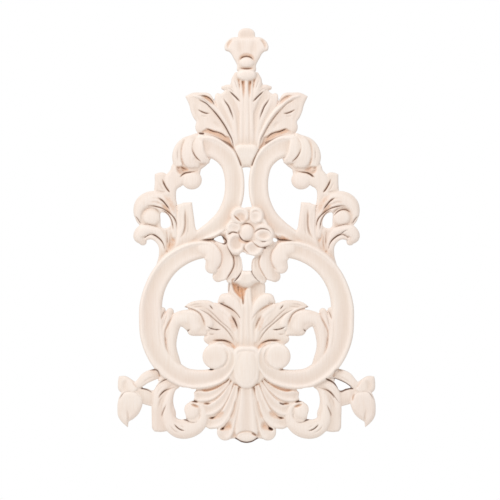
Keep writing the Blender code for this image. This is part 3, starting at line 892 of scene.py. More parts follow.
@dataclass(frozen=True)
class SideSpray(Motif):
    """The leaves on the flank: a small blade, a crescent with its ball, a curl and an upright lobe."""

    steps: Steps = (
        Layer((
            Plate(((62.2, 3.6), (57, 3.4), (50, 1), (48, -7), (50.5, -11), (56, -15), (61, -19), (64.8, -23),
                (63.4, -17), (62.7, -10), (62.3, -4)), (56, -14, 7.2), (57, 2, 7.8), 1.8, 0.7),
        ), (
            Cut(((57.6, 1.6, 0.5), (57.2, -3, 0.7), (57.2, -7, 0.8), (58.4, -11, 0.6)), 1.2, 0.7, 0.8,
                groove_shade=0.6, warm=0.5),
            Cut(((60.4, -11.6), (59.2, -13.4), (58.4, -15.4)), 1, groove_shade=0.55, warm=0.4),
            Cut(((57.6, -12.2), (57, -14.2)), 1, 0.7, groove_shade=0.55, warm=0.4, fade=0.4),
            Cut(((54.4, 0), (53.2, -3.6), (51.6, -7.4)), 0.9, 1.3, groove_shade=0.15, warm=0.7),
            Cut(((59.4, -3), (59, -10), (59.6, -15)), 1.2, 1.3, groove_shade=0.1, warm=0.7),
            Cut(((55.6, -1), (55.2, -7), (56.2, -12.6)), 0.8, groove_shade=0.35, warm=0.4),
        )),
        Plate(((53.6, 49), (54.8, 45.6), (56.8, 43.2), (58.6, 40), (59, 34), (57, 27), (53, 21), (50.2, 20),
            (50.8, 24), (50.8, 30.4), (49.6, 32.4), (47.2, 33.8), (44, 37), (46, 47)), (50, 47, 8.6),
            (54, 28, 8.2), 2.6, 1),
        Layer((
            Plate(((66.2, 42.4), (66.2, 42.4), (63.1, 43.6), (59.6, 43.6), (57.9, 42.2), (57.2, 38),
                (54.4, 29), (57, 26), (66.4, 27), (66.6, 29.5), (66.2, 36)), (55, 28, 8.6), (64, 43, 7.4), 2,
                0.9),
        ), (
            Cut(((60.9, 39.2), (58.9, 34.4), (56.4, 30.6), (54.2, 28.4)), 1.8, 0.8, 1, groove_shade=1, warm=0.5,
                fade=0.25),
            Cut(((63, 37), (60.8, 32.4), (58.4, 29.8)), 0.6),
            Cut(((66.6, 30.2), (62, 29.8), (58, 29.4)), 0.9),
        )),
        Plate(((80.2, 19), (74, 27), (60, 26), (54, 14), (53, 2), (58, 0), (64, 2), (74, 4), (79.6, 9)),
            (66, 2, 7.4), (66, 26, 7.8), 2, 0.6),
        # crescent leaf and ball
        Layer((
            Band(((76.8, 7.8, 1.5, 7.8), (78.2, 14, 3.2, 8.8), (75.9, 20.4, 4.9, 9.4),
                (70.6, 23.8, 5.9, 9.6), (63.6, 23.1, 6.8), (57.2, 18.2, 6.6, 9.3), (53.2, 9.5, 3.7, 8.8),
                (51.6, -2, 2.2, 8.2))),
        ), (
            Cut(((64.2, 25.8), (60.3, 23), (57.4, 19.6), (55, 16.4)), 1.9, 0.8, 1.1, groove_shade=1, warm=0.4,
                fade=0.25),
            Cut(((72.5, 19), (68.7, 19.6), (64.7, 19), (60.7, 17.8), (56.7, 15.4), (53.9, 13), (51.9, 10.6),
                (50.6, 7.6), (50.1, 2)), 1.6, 0.9, 0.8, groove_shade=0.85, warm=0.4, fade=0.22),
            Cut(((69.6, 22.2), (64.6, 22.4), (60.6, 20.8)), 0.5, 0.9, groove_shade=0.15, warm=0.3),
            Cut(((68, 25.4), (63.6, 24.6), (60, 21.8)), 0.4, groove_shade=0.12, warm=0.2),
            Cut(((62, 16.4), (59.3, 15.7), (56.3, 13.2), (54.1, 9.4), (53.3, 6.2), (52.7, 1.6)), 1.5, 0.7,
                0.8, groove_shade=0.8, warm=0.4, fade=0.22),
            Cut(((61.6, 21.6), (57.8, 17.6), (54, 12.4)), 1.2, 1.8, groove_shade=0.1, warm=0.85, sharp=1),
            Cut(((66, 21.8), (60.4, 20.2)), 0.6, 1.2),
            Cut(((60, 27.4), (56.4, 23.6), (53.6, 19), (51.4, 13.6)), 0.4, 2.6, groove_shade=0, warm=0.55, sharp=1),
        )),
        Knob((68.4, 11.5), (6.5, 6.3), 9.2, 1.3),
        Layer((
            Band(((74.8, -6.3, 2.6, 7.8), (77.2, -2.5, 4.4, 9), (74.2, 1.8, 4.6, 9.5), (68.8, 2.4, 3.7, 9.4),
                (63.4, 0, 3.7, 9), (60.6, -6.5, 3, 8.5), (60, -15, 2, 7.8))),
            Band(((73, -4.6, 0.9, 7.8), (70.6, -3.2, 1.5, 8.2), (67.6, -3, 1.8, 8.4), (63.9, -5.2, 2),
                (61.5, -9.8, 1.8, 8), (61.2, -16.5, 2, 7.4))),
        ), (
            Cut(((73.2, -3.4, 0.3), (71.2, -1.7, 0.5), (68.6, -0.9, 0.6), (66.4, -1.5, 1), (64.3, -2.8),
                (61.8, -5), (59.9, -7.9, 0.7), (59, -11.4, 0.4)), 1.8, 0.8, 1, groove_shade=1, warm=0.3),
            Cut(((76, 4.6), (69, 4.2), (63, 2)), 0.3, 1.2),
        )),
        # upright lobe
        Layer((
            Plate(((50, 20.4), (50, 20.4), (47.9, 20.8), (45.5, 21.9), (45.5, 21.9), (39.4, 22.2),
                (39.4, 22.2), (38.5, 15), (37.8, 10.1), (36.8, 3.6), (34.4, -1), (40, -7), (48, -10.5),
                (54, -14.5), (51.8, -7), (50, 0.6), (49.8, 9.4)), (45, -8, 8.6), (45, 21, 8.8), 2.2, 0.9),
        ), (
            Cut(((44.2, 17.6), (44.3, 12), (44.3, 5.5), (45.3, 0.6), (47.8, -3.8)), 1.4, 0.8, 1.5, groove_shade=0.45,
                warm=0.25, fade=0.25),
            Cut(((42.2, 15.5), (42.2, 8), (42.4, 1.5), (43.6, -3)), 0.7),
            Cut(((48, 17), (47.4, 9), (48.2, 1.5)), 0.4, 1.6, sharp=1),
        )),
        Cut(((74.6, 13, 0.2), (73.2, 16, 0.4), (70.6, 17.8, 0.6), (67.4, 17.9), (64.6, 16.6, 1),
            (62.2, 13.8, 0.6)), 1.1, groove_shade=0.4),
        Cut(((75.6, 6.2), (71, 6.2), (66.6, 5.2), (62.6, 4.2)), 1.3, 0.7, fade=0.2),
        Cut(((80.4, 12.4), (78.4, 10.2), (76.6, 7.4), (75.6, 6)), 1.5, 0.7, fade=0.25),
        Hole(((61.9, 14.8), (58.7, 14.3), (56, 11.9), (54.8, 8.4), (54.8, 5.4), (56.4, 4), (59.8, 3.4),
            (61.7, 4.8), (62.1, 9))),
    )


@dataclass(frozen=True)
class LowerScroll(Motif):
    """The great lower scroll: its band, its rolled end with two folds, and the inner scroll."""

    steps: Steps = (
        Layer((
            Band(((28.5, -83.5, 0.9, 10.6), (23.5, -80.8, 1.4, 11.4), (17.5, -80.2, 1.9, 11.9),
                (12.6, -83, 2.4, 12.2), (10.6, -89, 2.9), (12.5, -96, 4, 12), (18, -101.5, 5.5, 11.4),
                (26, -104.5, 6.3, 11), (35, -105.5, 6.8, 10.8), (44.5, -104.2, 7), (53, -99.5, 7.5),
                (60, -92.5, 8), (65, -83.5, 8.4), (67.9, -73.5, 8.7), (69, -62.5, 8.4), (69, -52, 8),
                (66.5, -40.9, 7.4), (62.1, -31.4, 7.2), (55.6, -23.1, 7.1), (47.2, -16.9, 6.9),
                (39, -13.3, 6.7, 10.6), (31.5, -12, 6.2), (25, -12.5, 5.5)), Section.BAND, 1.9),
        ), (
            Cut(((62.6, -58), (62.8, -66), (62.4, -76), (60.4, -85)), 0.5, 1, 0.8),
        )),
        Band(((51.4, -96, 4.4, 9.8), (54.6, -82, 4, 9.9), (54, -72, 4.6, 10), (51.4, -64, 5.2, 10.2),
            (46, -61.4, 5.6, 10.4), (40, -62, 6.2), (37, -67, 6.2, 10.2)), fall=1.6),
        Plate(((46, -56.2), (42, -55.4), (34, -57), (29, -63), (28, -73.9), (28, -73.9), (40.2, -73.7),
            (42.2, -72), (42.8, -70.6), (45.8, -67.9), (48.4, -66.4)), (46, -60, 10), (34, -73, 9.2), 2.4,
            1.1),
        # leaf tips on the inner scroll
        Layer((
            Band(((60.4, -55.4, 1.8, 8.8), (61.8, -64, 2.2, 9.8), (62.2, -76, 0.8, 10))),
            Band(((55.1, -56.6, 2.5, 8.8), (57.4, -63, 2.6, 9.6), (59.6, -77, 1.2, 10))),
        ), (
            Cut(((58.6, -55.4), (60.2, -58.6), (61.6, -62.4)), 1.5, 0.7, 0.8, groove_shade=0.55, warm=0.3),
            Cut(((57, -57.4), (58.6, -62.4), (60, -68)), 0.8, 0.7),
        )),
        Cut(((52.4, -56.6), (54.4, -61.8), (56.6, -66.2), (58.5, -71), (58.3, -77.5), (57.4, -83),
            (55.4, -88)), 1.6, 0.9, 0.8, groove_shade=0.35, warm=0.35, fade=0.2),
        Cut(((43.4, -71.4), (42, -70.2), (40.6, -69)), 1.4, 0.9, groove_shade=0.9, fade=0.4, sharp=1.2),
        Layer((
            Band(((10.4, -8.6, 2.2, 10), (8.2, -14, 3.2, 10.6), (6.4, -19.5, 3.4), (6, -24.5),
                (8.4, -29.6, 3.6, 10.4), (11.8, -33.8, 2.6, 9.4)), Section.LAP, 1),
            Band(((19.8, -6.4, 2.2, 10), (16.6, -11, 3.8, 10.8), (13.9, -17, 4.6, 11), (13.8, -23, 5),
                (16.4, -28.4, 5.3, 10.6), (20.4, -31.2, 4.1, 9.6)), Section.LAP, 1.4),
        ), (
            Cut(((14.6, -7.4), (12.4, -11), (10.2, -15.4), (9.1, -19.2), (9.1, -23), (10.3, -26.6),
                (12.5, -30.4), (15.2, -34.4)), 1.9, 0.9, groove_shade=0.7, warm=0.6, fade=0.15),
            Cut(((6.6, -15), (4.8, -19), (4.4, -23), (4.8, -27.4)), 0.9, 0.6, 0.7),
            Cut(((7.6, -15), (6.6, -21), (7.4, -27)), 0.6, 1.4, sharp=1),
        )),
        # rolled end
        Band(((31, -11.4, 5.4, 10.6), (26, -13.4, 6.4, 11.2), (23.6, -19, 6.3, 11.4),
            (25, -24.4, 4.8, 10.8)), fall=1.2),
        Cut(((23.8, -6.4), (20.6, -9.8), (18, -14.2), (17.5, -19), (19, -23.8), (22.2, -27.4)), 1.2, 0.9,
            0.7, groove_shade=0.3, warm=0.2, fade=0.15),
    )


@dataclass(frozen=True)
class LowerLeaf(Motif):
    """The acanthus spray between the lower scrolls, on its hollow stem."""

    steps: Steps = (
        Plate(both_sides(((0, -33), (11, -34.5), (13.3, -37), (13.5, -44), (15, -50), (18, -51), (19, -56),
            (15, -72), (13, -84), (0, -84))), (0, -42, 7.6), (0, -66, 9.2), 2, 0.8),
        # broad leaf and its overlapping edge
        Layer((
            Plate(((45, -53.2), (45, -53.2), (41.4, -50.4), (36.4, -48.8), (31.3, -48.4), (27, -48.8),
                (23, -50.8), (18, -56), (12, -66), (7.6, -75.6), (5.6, -83), (10.4, -84), (15.5, -83),
                (23.4, -81.8), (28, -79.9), (30.6, -77.6), (30.6, -75.2), (28.6, -73.8), (28.6, -70),
                (31.2, -63), (33.6, -58.6), (37.6, -55.6)), (7, -80, 9.2), (43, -53, 8.4), 2.2, 0.9),
            Plate(((43, -53.4), (37.4, -56), (33.2, -58.8), (30.4, -63.4), (28, -70), (24, -66), (28, -58),
                (34, -54)), (26, -66, 10.2), (43, -54, 9.6), 2.6, 0.9),
        ), (
            Cut(((26.8, -51.6), (25.4, -53.4), (23.8, -55.4)), 1.6, 0.7, groove_shade=0.8),
            Cut(((28.9, -66.9), (25.5, -68.7), (22.3, -69.5), (18.4, -69.6)), 1.7, 0.7, groove_shade=0.95, fade=0.25),
            Cut(((27.4, -72.7), (25, -72.9), (22.6, -72.7)), 0.8, groove_shade=0.35),
            Cut(((41, -52.6), (36.5, -51.2), (32, -51.2)), 0.6, groove_shade=0.25),
            Cut(((39.6, -53.8), (35, -53), (30, -53)), 0.6, 0.7, groove_shade=0.3),
            Cut(((44.2, -52.4), (43, -54), (41, -55)), 1.3, 1, groove_shade=0.8, sharp=1.2),
        )),
        # outer blade
        Layer((
            Band(((22.6, -52.2, 2, 8.4), (18, -55.2, 4, 9), (12.8, -60.8, 4.6, 9.6), (8.6, -68, 3.6, 9.8),
                (6.2, -78, 1.6))),
        ), (
            Cut(((11.2, -58.8), (9.2, -62.2), (7.5, -65.6), (6.3, -69.8)), 1.8, 1.1, 1.5, groove_shade=0.85, warm=0.5,
                sharp=1.2),
            Cut(((12.4, -59.8), (10, -65), (8.4, -71.4)), 0.5, 2, groove_shade=0, warm=0.6, sharp=1.2),
            Cut(((19.4, -55.6), (14.6, -59.6), (11, -65)), 0.4, 1.3),
        )),
        # ribs of the leaf
        Cut(((34.6, -54.4, 0.3), (32.4, -55.6, 0.8), (27.9, -58.1, 1), (23.3, -62), (19.4, -65.3),
            (15.4, -68.8), (12.2, -72.6), (10, -76.2, 0.8), (8.6, -79.4, 0.2)), 1.3, 0.6, 0.8, groove_shade=0.55),
        Cut(((29.6, -53.8, 0.3), (27, -55.6, 0.8), (22.2, -59.9, 0.9), (18.2, -64), (14.2, -67.2),
            (11.3, -70.2, 0.7), (9.2, -73.4, 0.2)), 1.2, 0.7, 0.6, groove_shade=0.45),
        # inner blade, and spine
        Band(((19.2, -49.2, 1.6, 8.6), (16.6, -47.3, 3.6, 9.5), (12.2, -48.6, 4.4, 10),
            (7.8, -52.4, 4, 10.1), (4.8, -58.6, 2.6, 10), (3.8, -66, 1.3, 9.9))),
        Cut(((19.4, -50.2, 0.4), (18, -51.1, 0.9), (15.4, -52.3, 1), (10.8, -54.8, 0.9), (7, -58, 0.6),
            (4.4, -62), (3.4, -66, 0)), 1.8, 0.8, 0.9, groove_shade=1, warm=0.4),
        Band(((0, -34, 3, 8.8), (0, -40, 3.2, 9), (0, -52, 4.2, 9.8), (0, -66, 5, 10.1), (0, -86, 6, 10.3)),
            Section.STEM, 0.8),
    )


@dataclass(frozen=True)
class Heart(Motif):
    """The volutes on either side of the cabochon, and the cabochon in its border."""

    steps: Steps = (
        Knob((22.1, -88.8), (9.6, 9.2), 12, 1.2, Section.DISC),
        Cut(((17.4, -82), (14, -86), (13.4, -91), (16, -95.4), (21, -97.8)), 0.9, 1.5, 1.2, groove_shade=0.12,
            sharp=1),
        Cut(((28.8, -97.4), (26.4, -98.2), (23, -98.2)), 3.4, 0.9, 0.8),
        Plate(both_sides(((0, -98), (12.8, -98.6), (14.4, -101.8), (11.4, -105.2), (7.8, -108.4),
            (0, -109))), (0, -98, 10.8), (0, -108, 10.8), 1, 0.3),
        # border with its moat, dome, and shadow below
        Layer((
            Plate(both_sides(((0, -81.6), (6, -82), (8.9, -84.6), (9.7, -92), (9.5, -100), (8.2, -106),
                (5.2, -110), (2.6, -111.5), (0, -111.8))), (0, -80, 12.2), (0, -110, 12.2), 2.4, 1),
        ), (
            Cut(((-6.6, -88), (-6, -85.8), (0, -84.6), (6, -85.8), (6.6, -88)), 0.5, 1.3, fade=0.1),
        )),
        Knob((0, -97), (6.6, 11.8), 13.1, 0.7),
        Cut(((-8.8, -107.4, 0.5), (-7.2, -109, 0.7), (-5, -110.8, 1), (-3, -111.7, 0.3), (0, -112.2, 0.2),
            (3, -111.7, 0.3), (5, -110.8, 1), (7.2, -109, 0.5), (8.8, -107.4, 0.2)), 1, 0.8, 0.7, groove_shade=0.65,
            warm=0.4),
    )


@dataclass(frozen=True)
class Shell(Motif):
    """The shell at the foot: a middle flute, and four flutes on each side with pits between their ends."""

    steps: Steps = (
        Band(((0, -100, 12, 8.6), (0, -112, 22), (0, -124), (0, -136, 14.6, 8.2))),
        Band(((8, -107, 4, 8.6), (20, -126, 6), (25.6, -134, 5, 8))),
        Band(((10, -104, 4, 8.6), (20, -114, 6.5), (31, -121, 6, 8))),
        Band(((0, -108, 6, 8.6), (10, -130), (14, -141, 5, 8))),
        Band(((12, -106, 3, 8.4), (24, -113, 3.4), (34, -114, 2.6, 8))),
        Plate(both_sides(((0, -138), (11, -142), (13.6, -148.3), (9.4, -148), (7, -148.2), (0, -149.6))),
            (0, -138, 8), (0, -148, 7.6), 1, 0.4),
        # flutes, hollows with painted warm shade in them, grooves between them, and pits at their ends
        Layer((
            Band(((11.6, -103.8, 1.3, 10.6), (18.2, -111.8, 2.7, 10.2), (26.4, -116.8, 4, 9.8),
                (34, -117.5, 4.4, 9.2), (34.6, -117.6, 4.2, 9)), Section.FLUTE, 1.3),
            Band(((10.6, -106.4, 1.4, 10.8), (12.2, -111.4, 2.3), (15.4, -117.6, 3.1, 10.6),
                (20.2, -123.4, 4.1, 10.2), (26.6, -126.8, 5, 9.6), (33, -126.4, 4.6, 9)), Section.FLUTE,
                1.3),
            Band(((7.4, -109, 1.5, 11), (8.8, -114.8, 2.4), (11.4, -122.6, 3.1, 10.8),
                (15.2, -130.2, 3.9, 10.4), (20.4, -135.4, 4.8, 9.8), (25.4, -136.2, 5, 9)), Section.FLUTE,
                1.3),
            Band(((5.2, -110.4, 1, 11), (5.9, -118, 1.4), (7.8, -126.5, 1.9, 10.6),
                (10.6, -134.5, 3.2, 10.2), (13.8, -141.6, 5.2, 9.6), (15.3, -143.4, 6, 9.4)), Section.FLUTE,
                1.3),
            Band(((0, -108, 4.4, 11.2), (0, -121, 5.4, 11), (0, -137, 7.6, 10.6), (0, -142, 8.2, 10.2)),
                Section.FLUTE, 0.9),
        ), (
            Pit(((26, -134.4), (21.4, -134.4), (17.2, -132.4), (15.6, -128.6), (18.4, -127.4),
                (22.6, -130.4)), 1, 2.4, warm=0.6),
            Pit(((18.8, -142.6), (14, -142.8), (10.4, -141.4), (9.8, -138), (12, -134.6), (15.6, -136.4)),
                1.4, 4, warm=0.75),
            Pit(((10.2, -133.4), (8.2, -128), (7.2, -121), (8.6, -120.6), (10.2, -127), (12.4, -132.6)), 0.5,
                1.2, warm=0.3),
            Cut(((11, -105.8, 0.9), (12.8, -109, 0.5), (15.6, -113, 0.35), (19.2, -117.2, 0.25),
                (22.6, -120.2, 0.15), (25.6, -122.2, 0.3), (27.4, -122.8, 0.9), (30.4, -122.7, 0.7)), 1.5,
                0.8, 1.2, groove_shade=0.75, warm=0.6),
            Cut(((9.8, -109.8, 0.6), (11.2, -113.8, 0.4), (13.4, -119), (15.6, -123.2, 0.3), (18, -127.6),
                (21, -130.8, 0.45), (24, -132.8, 0.9), (26.6, -133.2, 0.8)), 1.5, 0.8, 1.2, groove_shade=0.75,
                warm=0.6),
            Cut(((5.6, -111.6, 1), (6.4, -116.8, 0.4), (7.9, -122, 0.35), (9.4, -127.8), (11.6, -132.8),
                (14.4, -137.2, 0.5), (17.2, -140.6, 0.9), (18.6, -141.4, 0.8)), 1.5, 0.8, 1.2, groove_shade=0.75,
                warm=0.6),
            Cut(((30.6, -122.6), (28.2, -122.9), (26, -122.6)), 1.5, 0.9, groove_shade=0.75, warm=0.2, fade=0.4,
                sharp=1),
            Cut(((26.8, -133.2), (24.8, -133.2), (22.8, -132.6)), 2, 1.1, groove_shade=1, warm=0.4, fade=0.4,
                sharp=1),
            Cut(((18.9, -141.2), (17.5, -141), (15.8, -139.8)), 2.4, 1.4, groove_shade=1, warm=0.6, fade=0.4,
                sharp=1),
        )),
        # lip, and lines round it
        Plate(((-7.9, -147.4), (-7.9, -147.4), (-4.5, -144.3), (0, -143.4), (4.5, -144.3), (7.9, -147.4),
            (7.9, -147.4), (4.6, -150.2), (0, -151.2), (-4.6, -150.2)), (0, -143, 10.2), (0, -151, 9.6), 2.6,
            1.4),
        Cut(((-8.4, -147), (-4.9, -143.8), (0, -142.8), (4.9, -143.8), (8.4, -147)), 1.2, 0.7, groove_shade=0.2,
            warm=0.2, fade=0.15),
        Cut(((36.4, -111.6), (33, -112.4), (29.6, -113.5), (25.4, -112.8), (21, -111), (17, -108.2),
            (14.6, -105.8), (12, -103)), 1.9, 1, 1.1, groove_shade=0.3, warm=0.65, fade=0.12),
        Cut(((17, -108.6), (14.2, -106.4), (11.6, -103.8)), 1.4, groove_shade=0.75),
        Cut(((12.2, -107.2), (11.2, -106), (10.4, -104.4)), 1.4, groove_shade=0.8),
        Cut(((9.8, -108.8), (7.8, -109), (5.8, -109.8)), 1.2, groove_shade=0.5, warm=0.6),
        Cut(((4.6, -111, 1), (4.7, -118, 0.4), (5.5, -125, 0.2), (6.8, -136), (8.2, -142.5, 0)), 0.7,
            groove_shade=0.3),
        Cut(((-7.8, -147.8, 0.7), (-4.6, -150, 1), (0, -151), (4.6, -150), (7.8, -147.8, 0.7)), 0.4, 1.2,
            groove_shade=2.6),
    )


@dataclass(frozen=True)
class FootSpray(Motif):
    """The small foot scroll with its leaf, and the bud on its stalk."""

    steps: Steps = (
        Layer((
            Band(((62, -120.4, 5.4, 7.4), (69, -118.8, 5.7, 7.6), (76, -116.8, 5.2, 7.8), (83, -113.6, 3)),
                fall=0.9),
        ), (
            Cut(((79, -112.2, 0.3), (76.4, -111.9, 0.8), (74.4, -112.1, 1), (71.4, -113, 0.8),
                (68.4, -114.6, 0.6)), 1.4, 1, groove_shade=1),
        )),
        # leaf of the bud, its cap, and the bud
        Layer((
            Band(((60, -100.4, 3, 7.6), (67.2, -102.1, 3.9, 8), (72.6, -104.4, 4, 8.2), (76.6, -108, 3.2),
                (82, -112.4, 2.2, 8)), fall=1),
        ), (
            Cut(((66, -102.8), (71, -105.2), (75.6, -108.6)), 0.5, 1),
            Cut(((69.4, -98.8, 0.5), (66.6, -98.5, 0.9), (64.4, -99, 1), (63, -101, 0.6),
                (62.2, -104.6, 0.4)), 1.4, 1.2, groove_shade=0.9, sharp=1.2),
        )),
        Layer((
            Plate(((92, -103.3), (92, -103.3), (92.7, -107.2), (92.2, -113), (89, -115.4), (82, -115.4),
                (78.6, -112.6), (80.2, -108), (83, -105.7), (87.4, -103.2)), (80, -113, 9),
                (91.6, -104, 7.2), 2.4, 1),
        ), (
            Cut(((86, -105.6), (88, -109), (87.4, -113.6)), 0.6, 2.2, sharp=1),
            Cut(((82.8, -106), (80.6, -109.4), (78, -112)), 0.6, groove_shade=0.15, warm=0.3),
        )),
        Layer((
            Plate(((89, -114.2), (91.8, -118.4), (92.9, -123), (93, -128), (92.6, -131.6), (90.5, -135.4),
                (87, -138.8), (85.6, -139.9), (85.6, -139.9), (85, -136.2), (81.4, -133.8), (77.8, -130.2),
                (75.6, -125.4), (75, -121), (76, -117.6), (79, -114.4)), (84, -118, 9.4), (85.4, -139, 8),
                3.6, 1.1),
        ), (
            Cut(((85.9, -127), (85.3, -132), (85.2, -137)), 0.9, 0.9, groove_shade=0.2, fade=0.35),
            Cut(((91.8, -120, 0.4), (90, -117, 0.9), (88, -114.8, 0.6), (83.8, -114.1, 0.4), (79.8, -114.8),
                (76.8, -118, 0.3)), 1.3, 0.9, groove_shade=0.6),
        )),
        # foot: blade, ball and scroll
        Plate(((50, -104), (56, -102.4), (61.6, -103.4), (64.4, -107.4), (66.8, -112.6), (68.2, -118),
            (67.9, -130), (68, -139), (66.6, -142.9), (66.6, -142.9), (61, -143.3), (54, -141), (51, -131),
            (53, -121), (50, -112)), (56, -106, 8.6), (64, -142, 7.8), 2, 0.8),
        Band(((53, -107.8, 2.6, 8.8), (59.6, -110.4, 3.2, 9), (63.2, -115.8, 3.4, 8.8), (65, -124, 3.3, 8.4),
            (64.8, -133, 3.5, 7.8), (64.4, -139.4, 3.8, 7.2)), fall=1),
        Knob((39.2, -128.4), (6.2, 6.5), 9.8, 1.4),
        Layer((
            Band(((49.6, -107.6, 3, 8.8), (54.6, -114.6, 3, 9.2), (57, -122, 3.6, 9.4), (57, -129.6, 4.5),
                (54.6, -137, 5.5, 9.5), (48.8, -141, 6.6, 9.6), (42.4, -141, 6.9), (36, -138.4, 6.1),
                (31.6, -133.4, 4.4), (31.4, -127.5, 2.8), (34.6, -123.6, 2, 9.4), (40, -122.4, 1.4, 9)),
                fall=1.5),
        ), (
            Cut(((61.6, -134.6), (60.8, -130.6), (59.2, -126.6), (57.4, -122.6)), 1.2, 0.8, 0.9, groove_shade=0.6,
                warm=0.2),
            Cut(((52.2, -137.2), (50.4, -139.5), (47.8, -141.4), (44, -142.6)), 1.8, 0.7, groove_shade=1, fade=0.25),
            Cut(((62.6, -124.6), (60.4, -121), (59.8, -117.6)), 0.4, groove_shade=0.15, warm=0.3),
            Cut(((55.4, -138), (52.4, -141.8), (48, -144.2)), 0.8, 0.7),
            Cut(((48, -138.6), (44.6, -140.2)), 0.6, 0.7),
            Cut(((60, -122), (60.4, -117.6)), 0.5, 0.7),
        )),
        Cut(((67.2, -114.4, 0.3), (65.6, -111.6, 0.4), (63.6, -109, 0.5), (61, -107, 0.8), (59.2, -106, 1),
            (57.4, -105.3, 0.8)), 1.5, 0.7, 0.9, groove_shade=0.85),
        Cut(((63, -118.4, 0.5), (62, -116.6, 0.8), (60.4, -114.8, 1), (58.2, -113.2, 0.9), (55, -112.1, 0.5),
            (51.8, -111, 0.3)), 1.8, 0.8, 0.9, groove_shade=0.95, warm=0.3),
        Cut(((65.4, -118), (62.8, -113), (58.8, -109.6)), 0.5, 0.7),
        Cut(((63.4, -126), (62.2, -121), (59.4, -116.6)), 0.7, 0.7),
        Cut(((40.2, -120.8), (37.4, -121.2), (34.6, -122)), 1.9, 1.2, groove_shade=1, warm=0.6, sharp=1),
        Cut(((40.2, -123.2), (37.2, -124.2), (34.2, -125.4)), 1.4, 1.2, groove_shade=0.4, warm=0.9, sharp=1.2),
        Cut(((45, -134.2, 0.8), (43, -134.8, 1), (40.8, -136, 0.5), (38, -136.4, 0.4), (35.6, -135.8, 0.2)),
            1.5, 1.1, groove_shade=1),
        Cut(((34.4, -128.6), (33.6, -131.6), (34.6, -134.4)), 0.8, 0.7),
        Cut(((69.4, -99, 0.3), (67, -98.4, 1), (64.6, -98.6), (63.2, -100.4, 0.8), (62.6, -103.6, 0.2)), 1.6,
            0.9, groove_shade=0.95, warm=0.3),
        Hole(((74.6, -111), (74.6, -111), (70.5, -108.8), (66.6, -107.3), (62.6, -106.2), (62.6, -106.2),
            (65.2, -110.4), (66.9, -113.4), (68.6, -113.6), (71.9, -112.2))),
        Hole(((51, -113.2), (48.7, -111.6), (43.1, -111.2), (39.2, -112.4), (38, -114.8), (37.4, -118.6),
            (37.4, -118.6), (39.2, -121), (42.3, -122.4), (44.2, -124.4), (44.8, -127.4), (43.9, -130.8),
            (43.6, -132.8), (43.6, -132.8), (46.9, -132.7), (49.6, -130.6), (51.8, -127.2), (52.9, -122.6),
            (52.7, -117.9))),
    )


@dataclass(frozen=True)
class Nooks(Motif):
    """The nooks and seams between neighbouring motifs, and the keystone over the stem's foot."""

    steps: Steps = (
        # below the upper leaf
        Pit(((29, 75.6), (23, 74.2), (18.4, 72.6), (14.6, 70.4), (12.2, 69.6), (10.6, 65.6), (9.6, 61.4),
            (13.4, 63.8), (18.2, 67), (23, 69.6), (28.6, 71.4), (33, 72.4)), 1.4, 1.8, warm=0.5),
        Cut(((29.4, 75.4, 0.2), (26.8, 74.4, 1), (23.8, 73.2), (20.6, 72.5, 0.8), (17.2, 71, 0.9),
            (14.9, 68.8, 0.5)), 1.7, groove_shade=1),
        Cut(((29, 70.9, 0.2), (24, 69.9, 0.6), (18.6, 67.2, 0.8), (14, 64.2, 1), (9.8, 61.2, 0.8)), 1.4,
            groove_shade=0.7, warm=0.3),
        Cut(((34.6, 72), (32.4, 71.6), (30.2, 71.6)), 2, 1.2, groove_shade=1.5, fade=0.25),
        # between the lower leaf and the scrolls
        Cut(((44, -53), (41, -54.2), (37.4, -55.5), (33.4, -58.3), (31, -63), (29.8, -67.6)), 1.6, 0.7, 0.9,
            groove_shade=0.45, warm=0.3, fade=0.2),
        Cut(((24.4, -77.4, 0.3), (20.6, -77.3, 1), (16, -77.5), (12.4, -78.6, 0.8), (10.2, -79.8, 0.3)), 1.9,
            0.9, 1, groove_shade=1, warm=0.5),
        Pit(((18, -78.4), (12.4, -78.6), (9.6, -79.8), (7.8, -82.8), (11.4, -82.8), (15.4, -80.9)), 0.7, 0.9,
            warm=0.45),
        Plate(both_sides(((0, 63.6), (5.4, 63.3), (7.8, 61.4), (8.2, 58.8), (6.7, 54), (4.4, 49.4),
            (3.8, 47.6), (0, 47.6))), (0, 60.5, 11.8), (0, 48, 9.8), 2.4, 1.2),
        Cut(((22.6, 69.6, 0), (16.8, 66.6, 0.8), (12, 63.8, 1), (8.6, 59.6, 0.7), (5.8, 53.8, 0.9),
            (3.9, 48.6, 1)), 1.6, 0.9, groove_shade=0.8, warm=0.4),
    )


